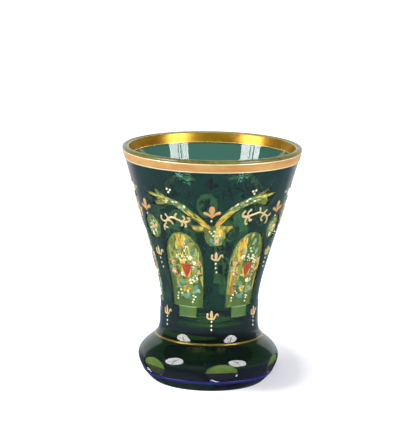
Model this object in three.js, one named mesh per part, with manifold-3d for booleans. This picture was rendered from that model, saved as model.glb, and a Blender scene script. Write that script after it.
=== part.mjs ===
// Trumpet goblet: a footed glass beaker blown in pale yellow-green glass and cased in dark green.
// The casing is cut through with arched windows, winged medallions and ovals on the foot, and the
// glass carries fired-on gilding and enamel. It is all one rigid body.
// Millimetres, +Z up, origin at the middle of the base. The main medallion faces -Y.
// Angles are degrees round the axis, 0 at the front and growing towards +X.
import * as THREE from 'three';
import { mergeVertices } from 'three/addons/utils/BufferGeometryUtils.js';
import Module from 'manifold-3d';

const wasm = await Module();
wasm.setup();

// Outer form
const height = 120;
const rimRadius = 45.05;
const lipDrop = 1.2; // from the top of the lip down to its widest ring
const coneSlope = 0.2815; // radius gained per millimetre of height above the waist
const neckRadius = 24.82;
const neckBottom = 32.3;
const neckTop = 36;
const flareTop = 58; // the wall is a straight cone from here up
const shoulderRadius = 28.9; // where the foot's bulge turns into the neck's hollow
const shoulderHeight = 22.1;
const bulgeRadius = 35.45;
const bulgeHeight = 13.4;
const baseRadius = 26.5;
const recessRadius = 19; // shallow ground hollow under the foot
const recessDepth = 1.2;

// Inside
const rimWall = 3.1;
const innerNeckRadius = 20.2;
const innerNeckHeight = 41;
const cavityBottom = 28;
const innerFlareRadius = 23.6;
const innerFlareHeight = 56;

// Dark green casing, a layer over the pale glass
const casingThickness = 0.6;
const layerGap = 0.05;
const casingBottom = 0.9;
const casingTop = 113.9; // ground away above this, so the gilt band lies on pale glass

// Gilding and enamel stand proud of the glass by this much
const reliefHeight = 0.3;
const reliefGap = 0.15;

// Cut windows: an arched light on a small plinth, six round the bowl, placed by hand
const windowTurns = [-89, -30, 34.5, 93, 152, 211];
const windowHalfAngle = 19.8;
const windowBottom = 41.9;
const windowSpring = 65;
const windowTop = 81.6;
const plinthHalfAngle = 11.8;
const plinthBottom = 36.6;

// Medallions between the windows: winged ones and plain ones take turns
const wingedTurns = [0, 120, 240];
const plainTurns = [60, 180, 300];
const medallionHeight = 80.3;
const wingedMedallionRadius = 5.65;
const plainMedallionWidth = 12.8;
const plainMedallionHeight = 12.6;
const plainMedallionZ = 82.3;
const wingRadius = 38.5; // wall radius at which the wing's outline is laid out

// Ovals cut on the foot
const ovalTurns = [8, 68, 128, 188, 248, 304];
const ovalWidth = 17.4;
const ovalHeight = 9.9;
const ovalCentre = 10.9;

// Gilt bands and lines
const rimBandBottom = 113.6;
const rimBandTop = 118.2;
const innerBandBottom = 114.6;
const innerBandTop = 119.6; // the inner band runs up over the edge of the lip
const waistLineBottom = 23.4;
const waistLineTop = 24.2;
const baseLineBottom = 5.2;
const baseLineTop = 5.85;

// Gilt motifs
const motifTurns = [0, 60, 120, 180, 240, 300];
const palmetteHeight = 91.6;
const palmetteTurn = -2.3; // the painter set it a little to the left of the motifs' own line
const upperTridentHeight = 69.7;
const upperTridentTurn = 1.9; // and this one a little to the right
const lowerTridentHeight = 38.3;
const scrollTurns = [-30, 30, 90, 150, 210, 270];
const scrollHeight = 89;
const heartHeight = 62.2;
const heartTurn = 2;
const heartWidth = 6.2;
const heartDrop = 7.6;

const segments = 32; // facets round the axis
const curveSegments = 3; // steps along each curve of a flat shape
const lipSteps = 3; // steps along each half of the lip, and along the other curves inside

const coreMaterial = new THREE.MeshStandardMaterial({ color: 0x8a9a38, roughness: 0.05, metalness: 0 });
const casingMaterial = new THREE.MeshStandardMaterial({ color: 0x123a2c, roughness: 0.05, metalness: 0 });
const mattGilt = new THREE.MeshStandardMaterial({ color: 0xe2a468, roughness: 0.45, metalness: 0.7 });
const brightGilt = new THREE.MeshStandardMaterial({ color: 0xc9962a, roughness: 0.2, metalness: 1 });
const redEnamel = new THREE.MeshStandardMaterial({ color: 0xc8402a, roughness: 0.35, metalness: 0 });
const blueEnamel = new THREE.MeshStandardMaterial({ color: 0x1c2a9a, roughness: 0.3, metalness: 0 });

const radians = THREE.MathUtils.degToRad;
const wallRadius = z => rimRadius - coneSlope * (height - lipDrop - z);

// Outer outline from the edge of the base to the widest ring of the lip, as (radius, height)
function outerOutline() {
  // The trumpet's curve leaves the neck upright and runs into the cone
  const neckMeetsCone = height - lipDrop - (rimRadius - neckRadius) / coneSlope;
  const path = new THREE.Path();
  path.moveTo(baseRadius, 0);
  path.bezierCurveTo(28.9, 0, bulgeRadius, 7.7, bulgeRadius, bulgeHeight);
  path.bezierCurveTo(bulgeRadius, 14.7, 34.6, 18.2, shoulderRadius, shoulderHeight);
  path.bezierCurveTo(26, 24.1, neckRadius, 26.2, neckRadius, neckBottom);
  path.lineTo(neckRadius, neckTop);
  path.quadraticCurveTo(neckRadius, neckMeetsCone, wallRadius(flareTop), flareTop);
  path.lineTo(rimRadius, height - lipDrop);
  return path.getPoints(4);
}

// Inner outline from the widest ring of the lip, over the lip and down to the middle of the cavity
function innerOutline() {
  const path = new THREE.Path();
  const innerRim = rimRadius - rimWall;
  path.moveTo(rimRadius, height - lipDrop);
  path.bezierCurveTo(rimRadius, height - 0.4, rimRadius - 0.8, height, rimRadius - rimWall / 2, height);
  path.bezierCurveTo(innerRim + 0.8, height, innerRim, height - 0.3, innerRim, height - lipDrop);
  path.lineTo(innerFlareRadius, innerFlareHeight);
  path.quadraticCurveTo(innerNeckRadius, 46, innerNeckRadius, innerNeckHeight);
  path.bezierCurveTo(innerNeckRadius, 31, 14, cavityBottom, 0, cavityBottom);
  return path.getPoints(lipSteps);
}

// Moves an outline sideways by a distance, outwards when positive, keeping its bands parallel
function shifted(outline, distance) {
  return outline.map((point, i) => {
    const before = outline[Math.max(i - 1, 0)];
    const after = outline[Math.min(i + 1, outline.length - 1)];
    const into = i > 0 ? point.clone().sub(before).normalize() : after.clone().sub(point).normalize();
    const out = i < outline.length - 1 ? after.clone().sub(point).normalize() : into;
    const normal = new THREE.Vector2(into.y + out.y, -into.x - out.x).normalize();
    const spread = normal.x * into.y - normal.y * into.x;
    return point.clone().addScaledVector(normal, distance / spread);
  });
}

// The stretch of an outline that lies between two heights
function between(outline, low, high) {
  const cut = (a, b, z) => a.clone().lerp(b, (z - a.y) / (b.y - a.y));
  const part = [];
  outline.forEach((point, i) => {
    const next = outline[i + 1];
    if (point.y >= low && point.y <= high) part.push(point);
    if (next && point.y < low && next.y > low) part.push(cut(point, next, low));
    if (next && point.y < high && next.y > high) part.push(cut(point, next, high));
  });
  return part;
}

// A closed geometry as a solid for joining and cutting
function solid(geometry) {
  const bare = geometry.clone();
  bare.deleteAttribute('normal');
  bare.deleteAttribute('uv');
  const merged = mergeVertices(bare, 1e-4);
  const index = merged.getIndex().array;
  const corners = [];
  for (let i = 0; i < index.length; i += 3) {
    const [a, b, c] = index.slice(i, i + 3);
    if (a !== b && b !== c && c !== a) corners.push(a, b, c);
  }
  const vertProperties = new Float32Array(merged.attributes.position.array);
  return new wasm.Manifold(new wasm.Mesh({ numProp: 3, vertProperties, triVerts: new Uint32Array(corners) }));
}

// An outline turned round the axis, with 0 degrees at the front
function turned(outline) {
  return solid(new THREE.LatheGeometry(outline, segments).rotateX(Math.PI / 2));
}

// A layer between two distances from an outline, from one height to another
function layer(outline, from, to, low, high) {
  const inside = between(shifted(outline, from), low, high);
  const outside = between(shifted(outline, to), low, high);
  return turned([...outside, ...inside.reverse(), outside[0].clone()]);
}

// A painted ring on a wall, outside it when the side is 1 and inside it when the side is -1
function band(outline, side, low, high) {
  const [from, to] = [layerGap, layerGap + reliefHeight].map(distance => side * distance);
  return layer(outline, Math.min(from, to), Math.max(from, to), low, high);
}

// Flat shapes given a depth of one and joined
function slab(shapes) {
  const settings = { depth: 1, bevelEnabled: false, curveSegments };
  const bodies = shapes.map(shape => solid(new THREE.ExtrudeGeometry(shape, settings)));
  return bodies.reduce((body, next) => body.add(next));
}

// A slab lifted to its height and wrapped round the axis between two radii, which may follow the height
function wrapped(body, lift, turn, layoutRadius, innerAt, outerAt) {
  const { vertProperties, triVerts } = body.getMesh();
  for (let i = 0; i < vertProperties.length; i += 3) {
    const [x, y, depth] = vertProperties.slice(i, i + 3);
    const angle = radians(turn) + x / layoutRadius;
    const z = y + lift;
    const radius = depth > 0.5 ? outerAt(z) : innerAt(z);
    vertProperties.set([radius * Math.sin(angle), -radius * Math.cos(angle), z], i);
  }
  return new wasm.Manifold(new wasm.Mesh({ numProp: 3, vertProperties, triVerts }));
}

// An arch or a plain block between two angles
function panelShape(halfWidth, bottom, spring, top) {
  const shape = new THREE.Shape();
  shape.moveTo(-halfWidth, bottom);
  shape.lineTo(halfWidth, bottom);
  shape.lineTo(halfWidth, spring);
  if (top > spring) {
    shape.absellipse(0, spring, halfWidth, top - spring, 0, Math.PI / 2);
    shape.absellipse(0, spring, halfWidth, top - spring, Math.PI / 2, Math.PI);
  }
  shape.lineTo(-halfWidth, spring);
  shape.closePath();
  return shape;
}

function ellipseShape(x, y, width, tall) {
  const shape = new THREE.Shape();
  shape.absellipse(x, y, width / 2, tall / 2, 0, Math.PI);
  shape.absellipse(x, y, width / 2, tall / 2, Math.PI, 2 * Math.PI);
  return shape;
}

// Wings of a winged medallion, cut by eye and not alike. Each starts inside the disc, rises as a band,
// ends in three pointed leaves and comes back along its underside to the leaf at the disc's corner.
const leftWing = [
  [-1.4, 84.2], [-2.8, 85.7], [-5.2, 87.6], [-7.7, 89.8], [-10.1, 91.8], [-12.5, 93.7], [-14.9, 95.5],
  [-17.7, 97.1], [-20.8, 98.4], [-24.3, 99.5], [-27, 100.6], [-30.2, 102.3], [-33.3, 104.1],
  [-32.7, 102.4], [-31.3, 100.6], [-34.7, 100.9], [-40.2, 100.1], [-37.4, 99.4], [-34.5, 98.8],
  [-31.2, 97.3], [-33.2, 96.3], [-35.2, 94.9], [-32.1, 94.4], [-28.6, 94.7], [-25.2, 95.4], [-22, 95.3],
  [-19.7, 93.9], [-17.6, 92.5], [-15.6, 91], [-13.6, 89.6], [-11.7, 88.3], [-9.7, 87.2], [-7.9, 86.3],
  [-14, 85.7], [-12.5, 83.4], [-10.3, 81.9], [-6.6, 82.3], [-4, 80.5],
];
const rightWing = [
  [-0.4, 84.2], [-1, 85.7], [0.8, 88.5], [2.6, 90.9], [4.5, 93], [6.5, 94.9], [8.8, 96.7], [11.2, 98.1],
  [13.9, 99.4], [17, 100.5], [20, 101.5], [22.9, 102.8], [25.7, 103.8], [28.9, 104.5],
  [27.5, 102.8], [25.9, 101.5], [29.2, 101.6], [34, 101.2], [30.8, 99.9],
  [27.6, 98.9], [28.6, 97.4], [29.2, 95.9], [27, 95.1], [24, 96], [21.3, 96.6], [19, 96.6], [17, 95.9],
  [14.7, 95.1], [12.6, 94.2], [10.8, 93.2], [9.3, 92], [7.5, 90.2], [5.6, 88.5], [3.9, 87.1], [3, 86.3],
  [4.2, 86], [10.3, 86.1], [8.9, 83.6], [7.1, 82], [5.5, 81.3], [3.5, 80.5],
];
const shapeThrough = points => new THREE.Shape(points.map(([x, z]) => new THREE.Vector2(x, z)));

// A painted stroke: a curve through a few points, swelling and tapering from one width to another
function strokeShape(points, startWidth, endWidth) {
  const curve = new THREE.SplineCurve(points.map(([x, y]) => new THREE.Vector2(x, y)));
  const steps = points.length - 1;
  const left = [];
  const right = [];
  for (let i = 0; i <= steps; i++) {
    const along = i / steps;
    const tangent = curve.getTangent(along);
    const half = THREE.MathUtils.lerp(startWidth, endWidth, along) / 2;
    const sideways = new THREE.Vector2(-tangent.y, tangent.x).multiplyScalar(half);
    left.push(curve.getPoint(along).add(sideways));
    right.push(curve.getPoint(along).sub(sideways));
  }
  return new THREE.Shape([...right, ...left.reverse()]);
}

const strokeShapes = strokes => strokes.map(stroke => strokeShape(...stroke));

// Three-lobed palmette, drawn about the point where its lobes meet
function palmetteShapes() {
  const middle = new THREE.Shape();
  middle.moveTo(0, -1.5);
  middle.quadraticCurveTo(0.9, 0.2, 1.5, 1);
  middle.quadraticCurveTo(1.7, 4.7, 0, 5.2);
  middle.quadraticCurveTo(-1.7, 4.7, -1.5, 1);
  middle.quadraticCurveTo(-0.9, 0.2, 0, -1.5);
  const lobes = [-1, 1].map(side => [[[side * 0.2, -0.8], [side * 1.9, 0.1], [side * 4.4, 1]], 1.1, 1.5]);
  return [middle, ...strokeShapes(lobes)];
}

// Trident: an upright drop between two curled arms that meet below it
function tridentShapes() {
  const drop = new THREE.Shape();
  drop.moveTo(0, -1.9);
  drop.quadraticCurveTo(1.3, 0, 0, 2.4);
  drop.quadraticCurveTo(-1.3, 0, 0, -1.9);
  const arms = [-1, 1].map(side =>
    [[[0, -2], [side * 1.5, -1.6], [side * 2.1, -0.3], [side * 2.8, 0.9]], 0.9, 0.6]);
  return [drop, ...strokeShapes(arms)];
}

// Arabesques: a waved stem with curled tendrils. The painter drew the two sides of a window differently.
const leftScroll = [
  [[[-7.3, -2.1], [-4.9, -0.4], [-2, 0.1], [1.2, -1.2], [3.8, -1.7], [6, -0.8], [5.9, 0.6]], 1.2, 1],
  [[[-7, -2.2], [-9.2, -2.3], [-10, 0.5]], 1, 1.1],
  [[[-5.7, -1.3], [-6.2, 0.2], [-7.4, 1.5]], 1, 1],
  [[[-1.5, -0.3], [-1.5, 1.2], [-0.4, 2.6]], 1.1, 1],
  [[[2.2, -1.7], [3.6, -0.1], [2.4, 1.4]], 1, 0.9],
  [[[-7.2, -2], [-7.7, -3.6], [-9.1, -5], [-8.8, -7.4]], 1, 0.8],
  [[[-8.8, -4.6], [-7.8, -5.6], [-6.3, -5.5]], 1, 1],
  [[[-6.6, -1.7], [-4.3, -2], [-3.1, -3.7]], 1.1, 1],
  [[[0.9, -1.1], [2.2, -2.5], [1.5, -4.2]], 1, 1.1],
  [[[3.2, -1.6], [4.1, -3], [3.6, -5]], 0.9, 1.4],
];
const rightScroll = [
  [[[-2.6, 1.3], [0, 2.1], [4, 3], [6.9, 1.8], [9.4, 0.4]], 1.2, 1.1],
  [[[-2.2, 1.5], [-5.3, 1.5], [-4.5, 4.8]], 1.2, 1.1],
  [[[-2.6, 1.4], [-3, 3.5], [-1.1, 5.3]], 1.1, 1.1],
  [[[3.5, 2.7], [4, 4.1], [3.3, 5.9]], 1, 1.2],
  [[[6.7, 1.8], [7.4, 2.9], [8.8, 4]], 1.2, 0.8],
  [[[8.9, 0.6], [11, 0.5], [12.1, 1.8]], 0.9, 0.8],
  [[[-2.6, 1.6], [-3.9, -0.4], [-2.3, -2.5]], 1, 1],
  [[[-2, 1.3], [-1.5, -0.8], [0.1, -0.3]], 1.1, 0.9],
  [[[7, 1.7], [5.4, 0], [6.7, -1.6]], 1, 0.8],
  [[[9.3, 0.6], [10.2, -1.8], [8.9, -3.8]], 1, 0.8],
];

function heartShape() {
  const half = heartWidth / 2;
  const shape = new THREE.Shape();
  shape.moveTo(0, -heartDrop * 0.55);
  shape.quadraticCurveTo(half * 0.75, -heartDrop * 0.15, half, heartDrop * 0.4);
  shape.quadraticCurveTo(half * 0.5, heartDrop * 0.52, 0, heartDrop * 0.36);
  shape.quadraticCurveTo(-half * 0.5, heartDrop * 0.52, -half, heartDrop * 0.4);
  shape.quadraticCurveTo(-half * 0.75, -heartDrop * 0.15, 0, -heartDrop * 0.55);
  return shape;
}

const outer = outerOutline();
const radiusAt = z => between(outer, z, height)[0].x;
const group = new THREE.Group();

function add(name, body, material) {
  const { vertProperties, triVerts } = body.getMesh();
  const geometry = new THREE.BufferGeometry();
  geometry.setAttribute('position', new THREE.BufferAttribute(new Float32Array(vertProperties), 3));
  geometry.setIndex(new THREE.BufferAttribute(new Uint32Array(triVerts), 1));
  geometry.computeVertexNormals();
  const mesh = new THREE.Mesh(geometry, material);
  mesh.name = name;
  group.add(mesh);
}

// Pale glass vessel: solid foot, cavity, and a bare lip and base edge that the casing stops short of
function glassCore() {
  const skin = shifted(outer, -casingThickness - layerGap);
  const low = casingBottom - layerGap;
  const high = casingTop + layerGap;
  const recess = new THREE.QuadraticBezierCurve(
    new THREE.Vector2(0, recessDepth), new THREE.Vector2(recessRadius * 0.6, recessDepth),
    new THREE.Vector2(recessRadius, 0));
  return turned([
    ...recess.getPoints(4),
    ...between(outer, 0, low),
    ...between(skin, low, high),
    ...between(outer, high, height - lipDrop),
    ...innerOutline().slice(1),
  ]);
}

// Shapes cut through the casing. The bodies that cut reach from well inside the layer to well outside it.
function throughCuts() {
  const [inside, outside] = [() => neckRadius * 0.6, () => rimRadius * 1.4];
  const cut = (shape, turn, layoutRadius) => wrapped(slab([shape]), 0, turn, layoutRadius, inside, outside);
  const cuts = [];
  const windowRadius = 180 / Math.PI; // one millimetre of outline is one degree
  windowTurns.forEach(turn => {
    cuts.push(cut(panelShape(windowHalfAngle, windowBottom, windowSpring, windowTop), turn, windowRadius));
    const plinthTop = windowBottom + 0.2; // runs a little way into the window, so that the two join
    cuts.push(cut(panelShape(plinthHalfAngle, plinthBottom, plinthTop, plinthTop), turn, windowRadius));
  });
  plainTurns.forEach(turn => {
    const oval = ellipseShape(0, plainMedallionZ, plainMedallionWidth, plainMedallionHeight);
    cuts.push(cut(oval, turn, radiusAt(plainMedallionZ)));
  });
  wingedTurns.forEach(turn => {
    const disc = ellipseShape(0, medallionHeight, 2 * wingedMedallionRadius, 2 * wingedMedallionRadius);
    cuts.push(cut(disc, turn, radiusAt(medallionHeight)));
    [leftWing, rightWing].forEach(wing => cuts.push(cut(shapeThrough(wing), turn, wingRadius)));
  });
  ovalTurns.forEach(turn => {
    cuts.push(cut(ellipseShape(0, ovalCentre, ovalWidth, ovalHeight), turn, bulgeRadius));
  });
  return cuts;
}

// Dark green layer, opened wherever the wheel has cut through it to the pale glass
function casing() {
  const whole = layer(outer, -casingThickness, 0, casingBottom, casingTop);
  return throughCuts().reduce((body, cut) => body.subtract(cut), whole);
}

// A motif in relief, lying a hair above the glass at a depth below the outer wall
function relief(shapes, turn, centre, depth) {
  const innerAt = z => radiusAt(z) - depth + reliefGap;
  const outerAt = z => innerAt(z) + reliefHeight;
  return wrapped(slab(shapes), centre, turn, radiusAt(centre), innerAt, outerAt);
}

add('glass_core', glassCore(), coreMaterial);
add('casing', casing(), casingMaterial);

// The inside from the bottom up, like the outer outline, as far as the crest of the lip
const inner = innerOutline().slice(lipSteps).reverse();
add('gilt_rim_outer', band(outer, 1, rimBandBottom, rimBandTop), mattGilt);
add('gilt_rim_inner', band(inner, -1, innerBandBottom, innerBandTop), brightGilt);
add('gilt_waist_line', band(outer, 1, waistLineBottom, waistLineTop), brightGilt);
add('blue_base_line', band(outer, 1, baseLineBottom, baseLineTop), blueEnamel);

motifTurns.forEach((turn, i) => {
  const palmette = relief(palmetteShapes(), turn + palmetteTurn, palmetteHeight, 0);
  const upperTrident = relief(tridentShapes(), turn + upperTridentTurn, upperTridentHeight, 0);
  const lowerTrident = relief(tridentShapes(), turn, lowerTridentHeight, 0);
  add(`gilt_palmette_${i + 1}`, palmette, mattGilt);
  add(`gilt_upper_trident_${i + 1}`, upperTrident, mattGilt);
  add(`gilt_lower_trident_${i + 1}`, lowerTrident, mattGilt);
});
scrollTurns.forEach((turn, i) => {
  const strokes = i % 2 ? rightScroll : leftScroll;
  add(`gilt_scroll_${i + 1}`, relief(strokeShapes(strokes), turn, scrollHeight, 0), mattGilt);
});
windowTurns.forEach((turn, i) => {
  const heart = relief([heartShape()], turn + heartTurn, heartHeight, casingThickness);
  add(`red_heart_${i + 1}`, heart, redEnamel);
});

export default group;
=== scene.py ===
# Trumpet goblet: pale yellow-green glass cased in dark green, cut through, gilded and enamelled
import math

import bpy
import numpy as np
from mathutils import Matrix, Vector
from mathutils.geometry import delaunay_2d_cdt


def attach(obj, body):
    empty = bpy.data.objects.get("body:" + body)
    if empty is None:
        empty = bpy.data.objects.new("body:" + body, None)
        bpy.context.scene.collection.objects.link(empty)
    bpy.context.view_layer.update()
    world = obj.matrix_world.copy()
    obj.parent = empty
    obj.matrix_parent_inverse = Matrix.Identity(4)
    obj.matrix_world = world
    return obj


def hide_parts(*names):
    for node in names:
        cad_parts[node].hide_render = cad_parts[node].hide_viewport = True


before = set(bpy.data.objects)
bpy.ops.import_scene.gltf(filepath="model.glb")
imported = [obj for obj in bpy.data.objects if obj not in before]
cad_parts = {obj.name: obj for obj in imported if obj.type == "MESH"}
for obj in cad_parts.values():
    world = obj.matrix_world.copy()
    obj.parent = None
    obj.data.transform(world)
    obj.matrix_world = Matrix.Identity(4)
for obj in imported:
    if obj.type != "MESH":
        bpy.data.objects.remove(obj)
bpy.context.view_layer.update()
scene = bpy.context.scene
mm = 0.001  # shapes are worked out in millimetres, meshes are in metres
dice = np.random.default_rng(11)
black, white = (0, 0, 0, 1), (1, 1, 1, 1)


def say(stage):
    print("goblet:", stage)


def srgb(red, green, blue):  # a colour as it reads on screen, made linear
    c = np.array([red, green, blue]) / 255
    c = np.where(c <= 0.04045, c / 12.92, ((c + 0.055) / 1.055) ** 2.4)
    return (*c.tolist(), 1.0)


def grey(level):
    return (level, level, level, 1)


def operator(operation):
    # A method of Wire that adds this Math node
    return lambda wire, other: wire.maths(operation, other)


class Wire:
    # A socket of a node tree. Sums written with it add Math nodes.
    def __init__(self, finish, socket):
        self.finish, self.socket = finish, socket

    def maths(self, operation, *values):
        sockets = dict(enumerate((self, *values)))
        return self.finish.node("Math", {"operation": operation}, sockets)

    def __rsub__(self, other):
        return self * -1 + other

    __add__ = __radd__ = operator("ADD")
    __mul__ = __rmul__ = operator("MULTIPLY")
    __sub__, __gt__, __lt__ = map(operator, ("SUBTRACT", "GREATER_THAN", "LESS_THAN"))


class Finish:
    # A material or world built from nodes; node() adds any node and gives back one of its outputs
    def __init__(self, name, kind="materials"):
        self.owner = getattr(bpy.data, kind).new(name)
        self.owner.use_nodes = True
        self.tree = self.owner.node_tree
        self.tree.nodes.clear()

    def node(self, kind, settings=None, sockets=None, out=0):
        made = self.tree.nodes.new("ShaderNode" + kind)
        for key, value in (settings or {}).items():
            if key == "stops":
                ramp = made.color_ramp.elements
                ramp.remove(ramp[1])
                for i, (place, colour) in enumerate(value):
                    stop = ramp[0] if i == 0 else ramp.new(place)
                    stop.position, stop.color = place, colour
            else:
                setattr(made, key, value)
        for key, value in (sockets or {}).items():
            if isinstance(value, Wire):
                self.tree.links.new(value.socket, made.inputs[key])
            else:
                made.inputs[key].default_value = value
        return Wire(self, made.outputs[out])

    def place(self):
        return self.node("TexCoord", out="Object")

    def height(self):  # above the table, in millimetres
        return self.node("SeparateXYZ", sockets={0: self.place()}, out="Z") * 1000

    def ray(self, kind):
        return self.node("LightPath", out="Is %s Ray" % kind)

    def attribute(self, name, out):
        return self.node("Attribute", {"attribute_name": name}, out=out)

    def vector(self, operation, *values, out=0):
        return self.node("VectorMath", {"operation": operation}, dict(enumerate(values)), out)

    def noise(self, scale, detail, stretch=None):
        spot = self.place()
        if stretch:
            spot = self.node("Mapping", sockets={"Vector": spot, "Scale": stretch})
        return self.node("TexNoise", sockets={"Vector": spot, "Scale": scale, "Detail": detail})

    def ramp(self, value, *stops):
        return self.node("ValToRGB", {"stops": stops}, {"Fac": value})

    def fade(self, value, start, end):  # 0 below the start and 1 above the end
        return self.ramp(value, (start, black), (end, white))

    def blend(self, share, first, second, how="MIX"):
        settings = {"data_type": "RGBA", "blend_type": how}
        return self.node("Mix", settings, {0: share, 6: first, 7: second}, out=2)

    def mixed(self, share, first, second):
        return self.node("MixShader", sockets={0: share, 1: first, 2: second})

    def bump(self, height, strength, distance):
        sockets = {"Height": height, "Strength": strength, "Distance": distance * mm}
        return self.node("Bump", sockets=sockets)

    def principled(self, **sockets):
        named = {key.replace("_", " "): value for key, value in sockets.items()}
        return self.node("BsdfPrincipled", sockets=named)

    def show(self, surface, volume=None, kind="Material"):
        end = self.tree.nodes.new("ShaderNodeOutput" + kind)
        self.tree.links.new(surface.socket, end.inputs["Surface"])
        if volume:
            self.tree.links.new(volume.socket, end.inputs["Volume"])
        return self.owner


# Camera

photoView = {
    "target": (0, 0, 0.06),
    "distance": 1.3628,
    "azimuth": -3.8,  # degrees round from the front, towards -X
    "elevation": 12.167,
    "roll": 1.137,
    "lens": 216.73,
    "aimRight": -0.00505,
    "aimUp": 0.01943,
}


def wayTo(azimuth, elevation):
    # Direction from the goblet; azimuth 0 is the front, -Y
    az, el = math.radians(azimuth), math.radians(elevation)
    return Vector((math.sin(az) * math.cos(el), -math.cos(az) * math.cos(el), math.sin(el)))


def addObject(name, data):
    thing = bpy.data.objects.new(name, data)
    scene.collection.objects.link(thing)
    return thing


def addCamera(view):
    # The eye stands the distance away from the target, and aims a little beside and above it
    az, roll = math.radians(view["azimuth"]), math.radians(view["roll"])
    back = wayTo(view["azimuth"], view["elevation"])
    level = Vector((math.cos(az), math.sin(az), 0))
    right = level * math.cos(roll) + back.cross(level) * math.sin(roll)
    target = Vector(view["target"])
    eye = target + back * view["distance"]
    aim = target + right * view["aimRight"] + back.cross(right) * view["aimUp"]
    back = (eye - aim).normalized()
    right = (right - back * right.dot(back)).normalized()
    camera = addObject("camera", bpy.data.cameras.new("camera"))
    camera.data.lens = view["lens"]
    camera.data.clip_end = 20
    turn = Matrix((right, back.cross(right), back)).transposed().to_4x4()
    camera.matrix_world = Matrix.Translation(eye) @ turn
    scene.camera = camera


addCamera(photoView)
scene.view_settings.view_transform = "Standard"
scene.cycles.max_bounces = 28
scene.cycles.transmission_bounces = 28
scene.cycles.glossy_bounces = 12
scene.cycles.transparent_max_bounces = 24
say("camera set")

# Studio

studio = {
    "middle": (0, 0, 0.06),  # the lamps face this place
    "boxLight": 16.0,  # radiance of a softbox; the glass mirrors about a twentieth of it
    "boxes": [  # azimuth, elevation, width, height, share of the light
        (-65, 24, 0.52, 0.8, 0.95),
        (49, 24, 0.5, 0.8, 0.87),
    ],
    "boxDistance": 1.0,
    "stands": [(0.01, 3, 0.62), (-0.05, -34, 0.4)],  # across from the box's middle, lean, length
    "standThick": 0.022,
    "standGap": 0.03,
    "standColour": (0.02, 0.02, 0.02, 1),
    "ambient": 0.36,
    "room": [  # what the glass mirrors, from the horizon up
        (0.5, (0.3, 0.34, 0.42, 1)),
        (0.62, (0.2, 0.22, 0.26, 1)),
        (0.85, (0.09, 0.09, 0.11, 1)),
    ],
    "backdrop": (0.88, 0.95, 0.95, 1),
    "backdropTurn": (0.61, 0.68),  # where the room gives way to the backdrop, as a share of -Y to +Y
    "floorHalf": 3.0,
    "floorColour": (0.8, 0.8, 0.82, 1),
    "floorTurn": (0.16, 0.3),  # the glass mirrors a floor with painted shade in front, and plain paper behind this
    "paintedFloorShade": (0.13, 0.15, 0.22, 1),  # painted shade on the floor by the foot, as the glass mirrors it
    "paintedFrontShade": (0.28, 0.42, 0.5, 1),  # and bluish painted shade a little further in front
    "dimReach": 0.125,
    "dimTurn": (0.45, 0.8),  # shares of that reach between which the first gives way to the second
    "paper": (0.36, 0.36, 0.385, 1),  # the floor as the camera sees it, with its own glow added
    "paperThrough": (0.2, 0.2, 0.2, 1),
    # share of the glow's reach from its middle, and how much the floor glows there; the low glow near the
    # middle paints part of the shadow by the foot
    "glow": [(0.15, 0.33), (0.28, 0.42), (0.45, 0.46), (0.55, 0.6), (0.65, 0.7), (1.0, 1.0)],
    # bluish, which shows only where the glow is low, in the painted shadow
    "glowTint": (0.98, 0.985, 1.04),
    "glowReach": 0.04,
    "paintedShadowMiddle": (0.03, 0.03, 0),  # the glow is lowest here, painting the shadow by the foot together with the lamp's own
    "glowStretch": (1, 0.35, 1),  # distances count less along the shadow
    "glowThrough": 0.8,  # the same as seen through the glass
}


square = ((-1, -1), (1, -1), (1, 1), (-1, 1))


def addSoftbox(index, azimuth, elevation, width, height, share):
    # Watts of an elliptical lamp: radiance x pi x its area, which is pi / 4 x width x height
    way = wayTo(azimuth, elevation)
    lamp = bpy.data.lights.new("softbox%d" % index, "AREA")
    lamp.shape, lamp.size, lamp.size_y = "ELLIPSE", width, height
    lamp.energy = studio["boxLight"] * share * math.pi * width * height * math.pi / 4
    box = addObject(lamp.name, lamp)
    box.location = Vector(studio["middle"]) + way * studio["boxDistance"]
    box.rotation_euler = way.to_track_quat("Z", "Y").to_euler()
    for bar, stand in enumerate(studio["stands"]):
        addStand("stand%d_%d" % (index, bar + 1), box, *stand)


def addStand(name, box, across, lean, length):
    # A dark bar just before the softbox. Only the glass and the gold see it.
    x, y = studio["standThick"] / 2, length / 2
    corners = [(a * x, b * y, c * x) for c in (-1, 1) for a, b in square]
    sides = [(i, (i + 1) % 4, (i + 1) % 4 + 4, i + 4) for i in range(4)]
    mesh = bpy.data.meshes.new(name)
    mesh.from_pydata(corners, [], [(3, 2, 1, 0), (4, 5, 6, 7), *sides])
    finish = Finish(name)
    paint = finish.principled(Base_Color=studio["standColour"], Roughness=0.6)
    mesh.materials.append(finish.show(paint))
    bar = addObject(name, mesh)
    facing = Matrix.Translation(box.location) @ box.rotation_euler.to_matrix().to_4x4()
    facing = facing @ Matrix.Translation((across, 0, -studio["standGap"]))
    bar.matrix_world = facing @ Matrix.Rotation(math.radians(lean), 4, "Z")
    bar.visible_camera = False


def behind(finish, place, start, end):
    # 0 in front of the glass and 1 behind it, for a place or a direction
    y = finish.node("SeparateXYZ", sockets={0: place}, out="Y")
    return finish.fade((y - start) * (1 / (end - start)), 0.0, 1.0)


def buildWorld():
    # The camera and the glass look at plain white. What the glass mirrors is a dark room in front,
    # lighter at the horizon, and the white backdrop behind.
    finish = Finish("studio", "worlds")
    seen, through, mirrored = (finish.ray(kind) for kind in ("Camera", "Transmission", "Glossy"))
    way = finish.node("TexCoord", out="Generated")
    height = finish.node("SeparateXYZ", sockets={0: way}, out="Z")
    room = finish.ramp(height * 0.5 + 0.5, *studio["room"])
    sky = finish.blend(behind(finish, way, *studio["backdropTurn"]), room, studio["backdrop"])
    colour = finish.blend(mirrored, grey(studio["ambient"]), sky)
    colour = finish.blend(seen.maths("MAXIMUM", through), colour, white)
    light = finish.node("Background", sockets={"Color": colour, "Strength": 1.0})
    scene.world = finish.show(light, kind="World")


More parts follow.
